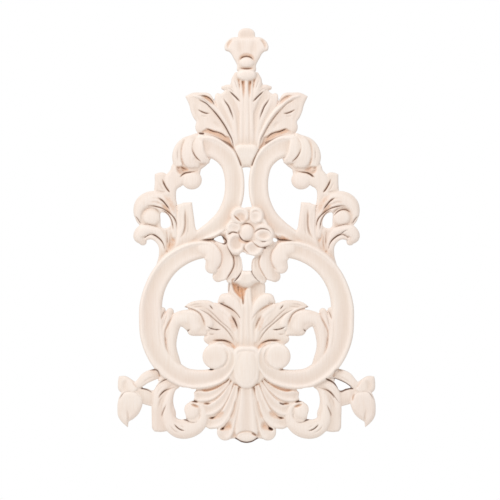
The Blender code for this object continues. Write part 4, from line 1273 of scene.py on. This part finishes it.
@dataclass(frozen=True)
class UnevenHalves(Motif):
    """What differs between the two halves: areas of lighter painted shade, grooves, and a painted warm shade.
    """

    steps: Steps = (
        # areas of the right half where the painted shade is lighter than on the left
        LessShade(((37, 98), (28, 94.2), (19, 83.6), (12.2, 72.6), (8, 60.6), (12, 60.6), (15.4, 70), (22.2, 80.8),
            (30.6, 89.6), (38, 95)), 0.7, 0.9),
        LessShade(((37, 100.6), (30, 100.6), (24.6, 98.4), (22, 92), (25.4, 91), (30, 95), (37, 97.6)), 0.75, 0.8),
        LessShade(((36.4, 73.8), (28.8, 73.4), (28.8, 69.6), (36.4, 69.6)), 0.85, 0.8),
        LessShade(((49, 49), (41, 49), (40.4, 45.4), (49, 45)), 0.6, 1.2),
        LessShade(((21.4, -48), (14, -50.2), (6.6, -55.4), (1.8, -63), (3, -67), (6.8, -62.4), (11.4, -57.2),
            (16.4, -54.2), (21.4, -52)), 0.85, 0.7),
        LessShade(((13.2, -57.4), (9.2, -57.8), (5.6, -64), (4.6, -71.4), (7.8, -71), (11.2, -64)), 0.5, 0.9),
        LessShade(((6.8, -14.4), (12.4, -14.4), (12, -22), (15.4, -31), (11.6, -32.2), (6.8, -22)), 0.5, 1),
        LessShade(((70.6, -97), (61.8, -97), (60.8, -104.4), (64.4, -105.4), (66.6, -101.2), (70.6, -101)), 0.45,
            0.8),
        LessShade(((30.2, -95.4), (21.4, -95.8), (21.4, -100), (30.2, -99.6)), 0.75, 0.8),
        # grooves on the right half only, with their painted shade
        Cut(((63, 12.8, 0.5), (65.7, 15.5, 1), (69, 16.9), (72.2, 16.5, 0.9), (74.4, 15.2, 0.5)), 1.2, groove_shade=1,
            warm=0.3),
        Cut(((67, -1.2, 0.6), (69.4, 0.6, 1), (71.6, 1.9, 0.8), (73.6, 2.6, 0.2)), 1, 0.7, groove_shade=0.75),
        Cut(((42.6, 43.4), (46, 42.4), (49.2, 39.8)), 1.4, 0.9, groove_shade=0.95, warm=0.3),
        Cut(((57.4, -104.9, 0.9), (59.4, -105.8, 1), (62, -107.3), (64.8, -110, 0.9), (67, -113.6, 0.5)),
            1.2, 0.9, groove_shade=1.2),
        Cut(((67.6, -114.2, 0.8), (71.2, -112.8, 1), (74, -111.8), (76.6, -112.2, 0.7)), 1.2, 1, groove_shade=1.3),
        Cut(((60, -104.4, 0.4), (65.6, -105.2, 0.7), (70.6, -107.6, 0.9), (75, -110.6, 1)), 0.9, 0.9, groove_shade=1),
        Cut(((60.6, -114.6, 0.9), (62.6, -116.6), (64.6, -119.4, 0.8), (67, -122.4, 0.4)), 1, 0.7, groove_shade=0.7),
        Cut(((78, -115.2), (76.8, -117.4), (76.3, -121.2)), 0.8, 1, groove_shade=0.35, warm=0.6),
        Cut(((23.2, -121.8), (25.6, -123.1), (27.8, -123.6)), 1.4, 1.1, groove_shade=1),
        Cut(((15.6, -139.8), (17.6, -141.2), (19.6, -141.6)), 1.2, 1.7, groove_shade=1.2),
        Cut(((7.4, -146), (5.4, -144.8), (3.4, -143.6)), 1.6, 1.1, groove_shade=0.7, warm=0.8),
        # a shallow hollow with painted warm shade at the root of the left side spray
        Pit(((-58, -12.6), (-51.6, -10), (-50.4, -5), (-53.6, -2), (-57.6, -6.4)), 0.5, 3.4, darkness=0.08,
            warm=0.6),
    )


@dataclass(frozen=True)
class Flower(Motif):
    """The six-petalled flower in the middle, and the collar and hollow stem below it."""

    steps: Steps = (
        # ground beside the flower
        Plate(((-27, -3), (-20, 1), (-11, 1), (-11, -11), (-17, -10), (-24, -7.4)), (-20, 0, 4.4),
            (-20, -8, 4.4), 1, 0.2),
        Plate(((27, -3), (20, 1), (11, 1), (11, -11), (17, -10), (24, -7.4)), (20, 0, 4.4), (20, -8, 4.4), 1,
            0.2),
        Band(((-20.4, 1.6, 1.6, 9), (-17, 0.6, 1.6, 9.6), (-13.4, -0.6, 1.6, 10))),
        Plate(((-40, -3), (-24.6, -2.6), (-24.6, -7), (-40, -8)), (-30, 0, 6.4), (-30, -8, 6.4), 1, 0.2),
        Plate(((40, -3), (22.8, -2.6), (22.8, -7), (40, -8)), (30, 0, 6.4), (30, -8, 6.4), 1, 0.2),
        # hollows of the stem, with painted warm shade in them
        Pit(((-10.8, -33), (-10.6, -38.2), (-9.2, -42.4), (-6.2, -45.8), (-3.8, -48.4), (-3, -51.2),
            (-1.9, -51.2), (-1, -46.4), (-0.2, -42.2), (1.6, -38.8), (2.4, -34)), 2.6, 1.8, warm=0.8),
        Cut(((-6.1, -35, 1), (-6, -39.6), (-5.6, -43.8, 0.4)), 0.8, 1.1, groove_shade=0.6, warm=1),
        Cut(((-3.6, -38, 0.3), (-3.2, -44, 0.8), (-2.6, -48.6, 1), (-2.4, -51)), 0.9, 1, groove_shade=0.6),
        Cut(((-12.2, -35), (-12.6, -39), (-13, -43.4)), 0.8, 0.9, groove_shade=0.6, fade=0.2),
        Cut(((6.6, -38), (6.4, -43), (4.6, -50)), 0.5, 3.4, sharp=1),
        # collar, its lines, and the seams beside the flower
        Plate(both_sides(((0, -27.3), (3.7, -27.3), (6.2, -31.6), (8.9, -34.6), (6.4, -35.6), (3.4, -37.8),
            (0, -38.6))), (0, -30, 12.2), (0, -39, 11), 3, 1.6),
        Cut(((-3.6, -27, 0.4), (-4.4, -29.4, 0.9), (-6.6, -32.6, 1), (-8.6, -34.6)), 2, groove_shade=1),
        Cut(((3.6, -24.6, 0.5), (3.5, -27, 1), (4.4, -29.4, 0.8), (6.6, -32.6), (9.4, -35.2, 0.6)), 2, 0.7,
            groove_shade=0.9),
        Cut(((7.8, -16.5, 0.6), (4.8, -19.8, 0.8), (3.7, -25), (4.6, -28, 0.4)), 0.8, 0.7, groove_shade=0.45),
        Cut(((-5.6, -15.6, 0.4), (-4, -20, 0.6), (-3.2, -26.4, 0.5)), 0.7, 0.7, groove_shade=0.25),
        Cut(((-34, -5.4, 0.2), (-30, -4.9, 0.9), (-26.6, -4.7, 1), (-24.2, -4.4), (-19, -1.6, 0.8)), 2.4,
            groove_shade=1),
        Cut(((-24, -4.9), (-20.4, -6.6), (-17.6, -7.6)), 1, 0.7, groove_shade=0.4, fade=0.2),
        Cut(((36, -5.9, 0.2), (31, -5.3, 0.8), (26, -4.9, 1), (23.6, -4.6), (20.8, -2.2, 0.8),
            (19.4, -0.6, 0.3)), 2.4, 0.9, 0.65, groove_shade=1),
        Cut(((31, -4.2), (27, -3.6), (23, -1.6)), 0.8, 1.6, groove_shade=0, warm=0.8, sharp=1.2),
        # bed, crown and petals
        Knob((0.8, 0.6), (15.4, 14.8), 12.2, 0.6),
        Knob((1.4, 14.6), (5, 4.2), 11.9, 0.8),
        Knob((6.8, 12.4), (5.3, 5.9), 12.9, 1, Section.CUP),
        Knob((-4.6, 12.6), (6.5, 6), 13, 1.1, Section.CUP),
        Knob((-9.2, 3.8), (5.4, 4.4), 12.9, 1, Section.CUP),
        Plate(((5, 2.4), (7.6, 5.4), (11.4, 6.4), (15.8, 5), (18.8, 1.2), (19.4, -3.4), (18, -7.6),
            (13.6, -10.3), (8, -9), (5, -4.8)), (6, -2, 12.7), (18, -1, 13), 1.8, 0.7),
        Knob((-7.2, -7.6), (6.6, 8), 13.2, 1.2, Section.CUP, -10),
        Knob((5, -11.2), (6.8, 5.6), 13, 1.1, Section.CUP, 8),
        Knob((12.4, -1.6), (6.5, 4.6), 13.5, 1, Section.CUP, -8),
        # shallow bowls in three petals, with painted shade
        Pit(((-12.4, -4), (-7, -1.2), (-3.2, -5), (-3.6, -11.6), (-8.4, -13.4), (-12, -9.6)), 0.7, 2.6,
            darkness=0.06, warm=0.08),
        Pit(((-8.6, 12.6), (-5.4, 15.2), (-0.8, 13.8), (-0.2, 9.4), (-3.4, 7.8)), 0.5, 2.4, darkness=0.03,
            warm=0.28),
        Pit(((8, -2), (11.6, 1.2), (16, 0.6), (17, -3), (12.6, -5.2)), 0.4, 2.4, darkness=0.03, warm=0.15),
        Cut(((-9, 13, 0.3), (-8, 11.6, 0.9), (-6.4, 10.2, 1), (-4.2, 8.2, 0.5)), 1.2, 0.9, 0.8, groove_shade=0.7,
            warm=0.9),
        Cut(((-3.6, 10.4), (-1.4, 8.8), (1.4, 8.6)), 0.6, 1.6, groove_shade=0, warm=0.35, sharp=1),
        Cut(((-11.4, 14.4), (-8.6, 17.2), (-4, 18.2), (0.2, 16.2)), 0.6, 0.9, groove_shade=0.15),
        Cut(((5, -0.6, 0.3), (6.8, 1.4, 0.8), (10, 3, 1), (13.8, 2.8), (16.4, 1.6, 0.7), (17.8, -0.6, 0.3)),
            1.4, 0.8, 1, groove_shade=0.75),
        Cut(((9.8, -5.9), (12.4, -6.3), (15, -5.8)), 1, groove_shade=0.7),
        Cut(((3.4, -4.8, 0.5), (5.6, -7.6, 0.6), (8.4, -9.8, 0.9), (11, -10.4, 0.8), (13.2, -10.2, 1),
            (16.8, -8.8, 0.6)), 1.5, groove_shade=0.75, warm=0.4),
        Cut(((12.2, -10.2), (13.2, -10.8), (14.2, -10.4)), 1.6, 1.1, groove_shade=1),
        Cut(((-14.2, -1), (-12.4, -0.6), (-10.4, 0.6), (-7.4, 0.2), (-5.2, -0.8)), 1.4, 0.9, 0.8, groove_shade=0.9,
            warm=0.4, fade=0.25),
        Cut(((-1.4, -8), (-1.8, -11), (0.6, -13.8), (2.6, -15.4)), 1, groove_shade=0.45, warm=0.4, fade=0.25),
        Cut(((-13, 6.4), (-10.8, 7.4), (-8, 7.2), (-5, 6)), 0.9, groove_shade=0.4, fade=0.25),
        Cut(((1.8, 17), (2, 12.6), (1.6, 8)), 1, groove_shade=0.3, fade=0.2),
        Cut(((3.6, 14.6), (6.2, 15.8), (9.4, 14.8)), 0.7, 0.9, groove_shade=0.15, warm=0.2),
        Cut(((5.4, 8.6), (8.8, 7.2), (13, 7.6)), 0.7, 0.9, groove_shade=0.2),
        Cut(((-5.6, -1.6), (-4.4, -5.4), (-1.8, -6.6), (1.6, -6.8)), 0.8, 1.5, groove_shade=0, warm=0.6, sharp=1),
        Cut(((-14.6, -7, 0.3), (-13.4, -10.8, 0.8), (-11, -14.8, 1), (-9.2, -18, 0.6)), 1.1, groove_shade=0.8,
            warm=0.4),
        Cut(((-10.6, -15.4), (-7.6, -16.4), (-4.2, -15.8)), 0.8, 0.7, groove_shade=0.4),
        # eye
        Knob((0.4, 0.6), (4.9, 5.7), 14, 1.6),
        Cut(((-3.6, 5.4, 0.4), (-1.6, 6.6, 1), (1, 6.8), (3.6, 5.6, 0.8), (5.4, 3, 0.5), (5.8, 0, 0.3)), 1.3,
            groove_shade=0.75, warm=0.4),
        Cut(((-5.6, 2, 0.3), (-5.2, -1.4, 0.7), (-3.6, -4.4, 1), (-1.6, -5.6, 0.8), (0.6, -6.2, 1),
            (3, -5.6, 0.5)), 1.5, 0.9, groove_shade=0.95, warm=0.5),
        Cut(((-18.6, -1.8, 0.5), (-16.8, -3.2, 0.8), (-15, -4.8, 1), (-14.6, -6.8), (-16, -7.8),
            (-18.6, -7, 0.3)), 1.2, 1.2, groove_shade=1),
        Hole(((-5, -15.2), (-3.7, -18.7), (-3, -23), (-2.8, -27.2), (-2.8, -27.2), (3.7, -27.2),
            (3.7, -27.2), (3.4, -23), (4, -19.4), (6.1, -16.9), (3.6, -16), (-0.4, -15.2))),
        Hole(((-24.5, -4.4), (-24.5, -4.4), (-19.3, -1.9), (-18, -2.2), (-16.9, -4.3), (-16.2, -6.2),
            (-16.6, -7.2), (-20.5, -6.2))),
        Hole(((19.2, -3.6), (20.6, -3.6), (22.8, -5.2), (22.8, -5.2), (20.4, -6.6), (19, -5.6))),
    )


class Graph:
    """The node tree of one material."""

    def __init__(self, name: str) -> None:
        """Starts an empty tree.

        Args:
            name: Name of the material.
        """
        self.material = bpy.data.materials.new(name)
        self.material.use_nodes = True
        self.tree = self.material.node_tree
        self.tree.nodes.clear()

    def node(self, kind: str, inputs: dict[Any, Any],
             settings: dict[str, Any] | None = None) -> bpy.types.Node:
        """Adds one node.

        Args:
            kind: The node's type, without its first word.
            inputs: Values, signals or sockets for its inputs, by name or number.
            settings: Its properties.

        Returns:
            The node.
        """
        node = self.tree.nodes.new("Shader" + kind)
        for key, value in (settings or {}).items():
            setattr(node, key, value)
        for key, value in inputs.items():
            value = value.socket if isinstance(value, Signal) else value
            if isinstance(value, bpy.types.NodeSocket):
                self.tree.links.new(value, node.inputs[key])
            else:
                node.inputs[key].default_value = value
        return node

    def signal(self, kind: str, inputs: dict[Any, Any], settings: dict[str, Any] | None = None,
               output: int | str = 0) -> "Signal":
        """Adds one node and returns one of its outputs."""
        return Signal(self, self.node(kind, inputs, settings).outputs[output])

    def noise(self, place: bpy.types.NodeSocket, scale: float, detail: float, rough: float = 0.5,
              warp: float = 0.0) -> "Signal":
        """Noise over the surface, with details of several sizes."""
        inputs = {"Vector": place, "Scale": scale, "Detail": detail, "Roughness": rough, "Distortion": warp}
        return self.signal("NodeTexNoise", inputs)

    def stretched(self, place: bpy.types.NodeSocket, scale: Triple) -> bpy.types.NodeSocket:
        """Coordinates times a scale for each axis."""
        return self.node("NodeMapping", {0: place, 3: scale}).outputs[0]

    def mix(self, share: Any, first: Any, second: Any, blend: str = "MIX") -> bpy.types.NodeSocket:
        """Mixes two colours.

        Args:
            share: Share of the second colour.
            first: A colour or a socket.
            second: A colour or a socket.
            blend: Blend mode.

        Returns:
            The mixed colour's socket.
        """
        colours = ((*colour, 1.0) if isinstance(colour, tuple) else colour for colour in (first, second))
        settings = {"data_type": "RGBA", "blend_type": blend, "clamp_factor": True}
        return self.node("NodeMix", {0: share, **dict(zip((6, 7), colours))}, settings).outputs[2]

    def finish(self, **looks: Any) -> bpy.types.Material:
        """Ends the tree with a surface shader.

        Args:
            looks: Its inputs, with low lines for the spaces in their names.

        Returns:
            The material.
        """
        inputs = {name.replace("_", " "): value for name, value in looks.items()}
        shader = self.node("NodeBsdfPrincipled", inputs)
        self.node("NodeOutputMaterial", {0: shader.outputs[0]})
        return self.material


class Signal:
    """A number that varies over a surface, with Python's operators as Math nodes."""

    def __init__(self, graph: Graph, socket: bpy.types.NodeSocket) -> None:
        """Wraps an output socket of a tree."""
        self.graph = graph
        self.socket = socket

    def _math(self, operation: str, first: Any, second: Any) -> "Signal":
        """Adds a Math node of two operands."""
        return self.graph.signal("NodeMath", {0: first, 1: second}, {"operation": operation})

    def __add__(self, other: Any) -> "Signal":
        """Sum."""
        return self._math("ADD", self, other)

    def __radd__(self, other: Any) -> "Signal":
        """Sum, with the number first."""
        return self._math("ADD", other, self)

    def __sub__(self, other: Any) -> "Signal":
        """Difference."""
        return self._math("SUBTRACT", self, other)

    def __rsub__(self, other: Any) -> "Signal":
        """Difference, from a number."""
        return self._math("SUBTRACT", other, self)

    def __mul__(self, other: Any) -> "Signal":
        """Product."""
        return self._math("MULTIPLY", self, other)

    def __rmul__(self, other: Any) -> "Signal":
        """Product, with the number first."""
        return self._math("MULTIPLY", other, self)

    def between(self, low: float, high: float, curve: str = "SMOOTHSTEP") -> "Signal":
        """0 below low, 1 above high, and a rise between them."""
        inputs = {0: self, 1: low, 2: high, 3: 0.0, 4: 1.0}
        return self.graph.signal("NodeMapRange", inputs, {"interpolation_type": curve})

    def ramp(self, low: float, high: float, most: float, curve: str = "SMOOTHSTEP") -> "Signal":
        """0 below low, the most above high, and a rise between them."""
        return self.between(low, high, curve) * most


@dataclass(frozen=True)
class PaleWood:
    """Bare carved wood, pale and close-grained, with painted shade in its recesses and grooves and painted
    highlights.

    Attributes:
        light: Pale colour of the painted highlight on crests and along the outline, and of the broad grain.
        middle: Colour of the open faces.
        warm: Colour of the painted warm shade in the hollows and on the banks of grooves.
        deep: Colour of the painted shade at the bottom of the grooves.
        cloudy: Tint of the broad clouds in the wood.
        fibrous: Tint of the fine grain.
        rough: Least and greatest roughness.
        shine: Strength of its reflection.
        fibres: Fine grain lines to a metre, by axis.
        stripes: Broad grain lines to a metre, by axis.
        clouds: Clouds to a metre.
        specks: Specks to a metre.
        bump: Strength of the grain's relief, and its depth in metres.
        grain: Shares of the fine and the broad grain in that relief.
        crests: Recess at which a crest's painted highlight starts to end and has ended, and its share of the
            light colour.
        edges: Share of the light colour in the painted highlight along the outline, and in the broad grain.
        hollows: Recess at which the painted warm shade of a hollow starts and is full, and its share of the
            warm colour.
        speckle: Noise at which a speck starts and is full, and its share of the painted warm shade of a
            groove.
        even: Share of that painted warm shade between the specks.
        grooves: Darkness at which the painted shade of a groove starts and is full, and its share of the deep
            colour.
        cloud: Noise at which a cloud starts and is full, and its share of the cloudy tint.
        fibre: Noise at which a fibre starts and is full, and its share of the fibrous tint.
    """

    light: Triple = (0.95, 0.86, 0.79)
    middle: Triple = (0.83, 0.71, 0.62)
    warm: Triple = (0.74, 0.42, 0.24)
    deep: Triple = (0.13, 0.055, 0.03)
    cloudy: Triple = (0.97, 0.90, 0.90)
    fibrous: Triple = (0.86, 0.76, 0.66)
    rough: tuple[float, float] = (0.52, 0.68)
    shine: float = 0.35
    fibres: Triple = (1500.0, 1500.0, 70.0)
    stripes: Triple = (190.0, 190.0, 9.0)
    clouds: float = 26.0
    specks: float = 620.0
    bump: tuple[float, float] = (0.12, 0.0004)
    grain: tuple[float, float] = (0.6, 0.4)
    crests: Triple = (0.2, 0.46, 0.75)
    edges: tuple[float, float] = (0.5, 0.2)
    hollows: Triple = (0.42, 0.9, 0.3)
    speckle: Triple = (0.25, 0.75, 0.7)
    even: float = 0.35
    grooves: Triple = (0.0, 0.8, 0.95)
    cloud: Triple = (0.3, 0.7, 0.35)
    fibre: Triple = (0.35, 0.75, 0.22)

    def material(self) -> bpy.types.Material:
        """Builds the finish, with its painted shade and painted highlights.

        Returns:
            The material.
        """
        graph = Graph(SLOT)
        place = graph.node("NodeTexCoord", {}).outputs["Object"]
        fine = graph.noise(graph.stretched(place, self.fibres), 1.0, 3.0, rough=0.55)
        bands = graph.noise(graph.stretched(place, self.stripes), 1.0, 2.0, warp=0.4)
        cloud = graph.noise(place, self.clouds, 2.0)
        specks = graph.noise(place, self.specks, 3.0, rough=0.7)
        recess, dark, warm, rim = (graph.signal("NodeAttribute", {}, {"attribute_name": name}, "Fac")
                                   for name in ("recess", "dark", "warm", "rim"))
        # painted highlight on crests and along the outline; the broad grain's share is the wood's own tone
        start, end, most = self.crests
        crest = (1.0 - recess.between(start, end)) * most
        base = graph.mix(crest + rim * self.edges[0] + bands * self.edges[1], self.middle, self.light)
        # painted warm shade in hollows and along grooves, speckled
        hollow = recess.ramp(*self.hollows) + warm * (specks.ramp(*self.speckle) + self.even)
        base = graph.mix(hollow, base, self.warm)
        # painted shade at the bottom of the grooves
        base = graph.mix(dark.ramp(*self.grooves), base, self.deep)
        base = graph.mix(cloud.ramp(*self.cloud, "LINEAR"), base, self.cloudy, "MULTIPLY")
        base = graph.mix(fine.ramp(*self.fibre), base, self.fibrous, "MULTIPLY")
        low, high = self.rough
        relief = fine * self.grain[0] + bands * self.grain[1]
        bump = graph.node("NodeBump", {"Strength": self.bump[0], "Distance": self.bump[1], "Height": relief})
        return graph.finish(Base_Color=base, Roughness=fine * (high - low) + low, Normal=bump.outputs[0],
                            Specular_IOR_Level=self.shine)


@contextmanager
def editing() -> Iterator[None]:
    """Puts the active object in edit mode for a while.

    Yields:
        Nothing, while the object is in edit mode.
    """
    bpy.ops.object.mode_set(mode="EDIT")
    yield
    bpy.ops.object.mode_set(mode="OBJECT")


def places_of(mesh: bpy.types.Mesh) -> Array:
    """Where the vertices of a mesh are.

    Args:
        mesh: The mesh.

    Returns:
        A row of coordinates for each vertex.
    """
    places = np.zeros(len(mesh.vertices) * 3)
    mesh.vertices.foreach_get("co", places)
    return places.reshape(-1, 3)


@dataclass
class Onlay:
    """The whole board: its carving, its mesh and its finish.

    Attributes:
        low: Lowest corner of the node's box, in metres.
        high: Highest corner.
        finish: Finish of the wood: its grain, with painted shade and painted highlights.
        faces: How many triangles the finished mesh has at most.
        sanding: How far the sanding reaches, in millimetres.
        arris: Radius of the board's outer edge, in millimetres.
        crease: Largest angle that is still shaded smooth.
        hollow_edge: How near the outline, in millimetres, hollows count less as hollows for the painted
            shade.
        hollow_width: Size of the surroundings that a hollow lies below.
        hollow_range: How far below them the mesh stores as 0 and as 1.
        rim_width: Width of the painted highlight along the outline.
    """

    low: Triple
    high: Triple
    finish: PaleWood = PaleWood()
    faces: int = 190000
    sanding: float = 0.34
    arris: float = 0.8
    crease: float = math.radians(42.0)
    hollow_edge: float = 2.0
    hollow_width: float = 3.2
    hollow_range: tuple[float, float] = (-1.0, 2.0)
    rim_width: float = 2.2

    @property
    def unit(self) -> float:
        """Metres of the frame in a millimetre of the board."""
        return (self.high[2] - self.low[2]) / (HEAD_UP - FOOT_UP)

    @property
    def centre(self) -> float:
        """Where the board's middle is, across the frame."""
        return (self.low[0] + self.high[0]) / 2

    def carve(self) -> Relief:
        """Works every motif on the grid.

        Returns:
            The finished relief of the whole board.
        """
        half = Relief(np.arange(0.0, HALF_WIDTH + MARGIN, PITCH),
                      np.arange(FOOT_UP - MARGIN, HEAD_UP + MARGIN, PITCH))
        for motif in (LowerLeaf, Shell, LowerScroll, Heart, FootSpray, SideSpray, UpperLeaf, UpperScroll,
                      Lily, Nooks):
            motif().carve(half)
        whole = half.mirrored()
        for motif in (UnevenHalves, Flower):
            motif().carve(whole)
        whole.soften(self.sanding, self.arris)
        return whole

    def snapped(self, relief: Relief, border: Array) -> Pair:
        """Grid places, with those of the border moved onto the outline.

        Args:
            relief: The finished relief.
            border: Which grid points are moved.

        Returns:
            The two coordinates of every grid point.
        """
        east, north = relief.grid((slice(None), slice(None)))
        rise, run = np.gradient(relief.reach, PITCH)
        for _ in range(SNAP_ROUNDS):
            reach, out, up = (relief.sample(values, (east, north)) for values in (relief.reach, run, rise))
            step = np.clip(-reach / np.maximum(out**2 + up**2, LEAST_STEEP), -PITCH, PITCH) * border
            east = east + step * out
            north = north + step * up
        return east, north

    def panel(self, relief: Relief) -> bpy.types.Object:
        """Starts the board as a fine grid and takes away what lies outside the outline.

        Args:
            relief: The finished relief.

        Returns:
            The carved face.
        """
        rows, columns = relief.reach.shape
        bpy.ops.object.select_all(action="DESELECT")
        bpy.ops.mesh.primitive_grid_add(x_subdivisions=columns - 1, y_subdivisions=rows - 1, size=1.0)
        panel = bpy.context.object
        panel.name = PIECE
        panel.data.name = PIECE
        kept = relief.reach > 0.0
        faces = kept[:-1, :-1] | kept[1:, :-1] | kept[:-1, 1:] | kept[1:, 1:]
        used = np.zeros_like(kept)
        for down in (0, 1):
            for right in (0, 1):
                used[down:rows - 1 + down, right:columns - 1 + right] |= faces
        with editing():
            bpy.ops.mesh.select_all(action="DESELECT")
        panel.data.vertices.foreach_set("select", ~used.ravel())
        at = self.snapped(relief, used & ~kept)
        places = np.stack([at[0], -relief.sample(relief.height, at), at[1]], axis=-1).reshape(-1, 3)
        places = places * self.unit + (self.centre, self.high[1], self.low[2] - FOOT_UP * self.unit)
        panel.data.vertices.foreach_set("co", places.ravel())
        with editing():
            bpy.ops.mesh.select_mode(type="VERT")
            bpy.ops.mesh.delete(type="VERT")
        return panel

    def thicken(self, panel: bpy.types.Object) -> None:
        """Gives the carved face its sawn edge and flat back, and thins out what is flat.

        Args:
            panel: The carved face.
        """
        with editing():
            bpy.ops.mesh.select_all(action="SELECT")
            bpy.ops.mesh.extrude_region_move()
        chosen = np.zeros(len(panel.data.vertices), dtype=bool)
        panel.data.vertices.foreach_get("select", chosen)
        places = places_of(panel.data)
        places[chosen, 1] = self.high[1]
        panel.data.vertices.foreach_set("co", places.ravel())
        with editing():
            bpy.ops.mesh.select_all(action="SELECT")
            bpy.ops.mesh.normals_make_consistent(inside=False)
        panel.data.calc_loop_triangles()
        thinning = panel.modifiers.new("thin out", "DECIMATE")
        thinning.ratio = min(1.0, self.faces / len(panel.data.loop_triangles))
        thinning.use_collapse_triangulate = True
        bpy.ops.object.modifier_apply(modifier=thinning.name)
        bpy.ops.object.shade_smooth_by_angle(angle=self.crease)

    def mark(self, panel: bpy.types.Object, relief: Relief) -> None:
        """Stores on the mesh the masks of painted light: how recessed each point is, how dark and warm its
        painted shade is, and how near the outline it is, for the painted highlight there.

        Args:
            panel: The finished mesh.
            relief: The finished relief.
        """
        near = np.clip(relief.reach / self.hollow_edge, 0.0, 1.0)
        hollow = (relief.blurred(relief.height, self.hollow_width) - relief.height) * near
        rim = np.clip(1.0 - relief.reach / self.rim_width, 0.0, 1.0)
        places = places_of(panel.data)
        back = places[:, 1] > self.high[1] - BACK_SLACK
        at = (places[:, 0] - self.centre) / self.unit, (places[:, 2] - self.low[2]) / self.unit + FOOT_UP
        whole = (0.0, 1.0)
        for name, values, (low, high) in (("recess", hollow, self.hollow_range), ("dark", relief.dark, whole),
                                          ("warm", relief.warm, whole), ("rim", rim, whole)):
            shares = np.where(back, 0.0, relief.sample(values, at))
            shares = np.clip((shares - low) / (high - low), 0.0, 1.0)
            attribute = panel.data.attributes.new(name, "FLOAT", "POINT")
            attribute.data.foreach_set("value", shares.astype(np.float32))

    def build(self) -> bpy.types.Object:
        """Builds the board and dresses it.

        Returns:
            The finished piece.
        """
        relief = self.carve()
        panel = self.panel(relief)
        self.thicken(panel)
        self.mark(panel, relief)
        panel.data.materials.clear()
        panel.data.materials.append(self.finish.material())
        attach(panel, BODY)
        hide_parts(NODE)
        return panel


@dataclass(frozen=True)
class Lamp:
    """A soft lamp that faces the object.

    Attributes:
        name: Its name.
        place: Where it hangs, from the object's middle, in metres.
        size: Width of its face.
        watts: Its power.
        colour: Its colour.
    """

    name: str
    place: Triple
    size: float
    watts: float
    colour: Triple = (1.0, 1.0, 1.0)

    def hang(self, centre: Triple) -> None:
        """Hangs the lamp.

        Args:
            centre: The object's middle.
        """
        data = bpy.data.lights.new(self.name, "AREA")
        data.shape = "DISK"
        data.size = self.size
        data.energy = self.watts
        data.color = self.colour
        lamp = bpy.data.objects.new(self.name, data)
        bpy.context.scene.collection.objects.link(lamp)
        lamp.location = [middle + offset for middle, offset in zip(centre, self.place)]
        across, along, up = (-offset for offset in self.place)
        lamp.rotation_euler = (math.pi / 2 + math.atan2(up, math.hypot(across, along)), 0.0,
                               math.atan2(along, across) - math.pi / 2)


@dataclass
class Studio:
    """A pale floor, soft lamps and the camera.

    Attributes:
        centre: Middle of the object, in metres.
        foot: Height of its lowest point.
        distance: How far the camera is: far enough to draw without perspective.
        sensor: Width of the camera's sensor, in its own millimetres.
        view: Width of what it sees at the object.
        aim_right: How far right of the middle it looks.
        aim_down: How far below the middle it looks.
        clip: How far it sees.
        floor_gap: Height of the object's lowest point above the floor.
        floor_width: Width of the floor.
        floor_colour: Its colour.
        floor_rough: Its roughness.
        glow: Strength of the white surround on the wood, where 1 is what the camera sees of it.
        lamps: The lamps.
    """

    centre: Triple
    foot: float
    distance: float = 2.4
    sensor: float = 36.0
    view: float = 0.36
    aim_right: float = 0.0025
    aim_down: float = 0.0104
    clip: float = 50.0
    floor_gap: float = 0.32
    floor_width: float = 1.7
    floor_colour: tuple[float, ...] = (0.86, 0.85, 0.83, 1.0)
    floor_rough: float = 0.8
    glow: float = 0.66
    lamps: tuple[Lamp, ...] = (Lamp("key", (-0.9, -1.3, 1.3), 1.0, 18.4, (1.0, 0.985, 0.97)),
                               Lamp("fill", (1.3, -1.6, 0.3), 1.4, 3.0))

    def floor(self) -> None:
        """Lays the floor below the object."""
        bpy.ops.object.select_all(action="DESELECT")
        place = (self.centre[0], 0.0, self.foot - self.floor_gap)
        bpy.ops.mesh.primitive_plane_add(size=self.floor_width, location=place)
        floor = bpy.context.object
        floor.name = "floor"
        paint = Graph("floor_paint").finish(Base_Color=self.floor_colour, Roughness=self.floor_rough)
        floor.data.materials.append(paint)

    def world(self) -> None:
        """Sets an even white surround, brighter to the eye than to the wood."""
        world = bpy.data.worlds.new("studio")
        bpy.context.scene.world = world
        world.use_nodes = True
        nodes, links = world.node_tree.nodes, world.node_tree.links
        nodes.clear()
        path, strength, background, output = (nodes.new("ShaderNode" + kind) for kind in (
            "LightPath", "MapRange", "Background", "OutputWorld"))
        strength.inputs[3].default_value = self.glow
        strength.inputs[4].default_value = 1.0
        background.inputs["Color"].default_value = (1.0, 1.0, 1.0, 1.0)
        links.new(path.outputs["Is Camera Ray"], strength.inputs[0])
        links.new(strength.outputs[0], background.inputs["Strength"])
        links.new(background.outputs[0], output.inputs[0])

    def camera(self) -> None:
        """Sets the camera square to the board."""
        data = bpy.data.cameras.new("camera")
        data.sensor_width = self.sensor
        data.lens = data.sensor_width * self.distance / self.view
        data.clip_end = self.clip
        camera = bpy.data.objects.new("camera", data)
        bpy.context.scene.collection.objects.link(camera)
        camera.location = (self.centre[0] + self.aim_right, self.centre[1] - self.distance,
                           self.centre[2] - self.aim_down)
        camera.rotation_euler = (math.pi / 2, 0.0, 0.0)
        bpy.context.scene.camera = camera

    def build(self) -> None:
        """Sets up the whole studio."""
        self.floor()
        self.world()
        for lamp in self.lamps:
            lamp.hang(self.centre)
        self.camera()
        bpy.context.scene.view_settings.view_transform = "Standard"


def main() -> None:
    """Builds the onlay and its studio around the frame."""
    logging.basicConfig(level=logging.INFO, format="%(message)s")
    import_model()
    low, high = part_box(NODE)
    onlay = Onlay(tuple(low), tuple(high)).build()
    LOG.info("built %s: %d faces", onlay.name, len(onlay.data.polygons))
    Studio(tuple((low[axis] + high[axis]) / 2 for axis in range(3)), low[2]).build()


if __name__ == "__main__":
    main()
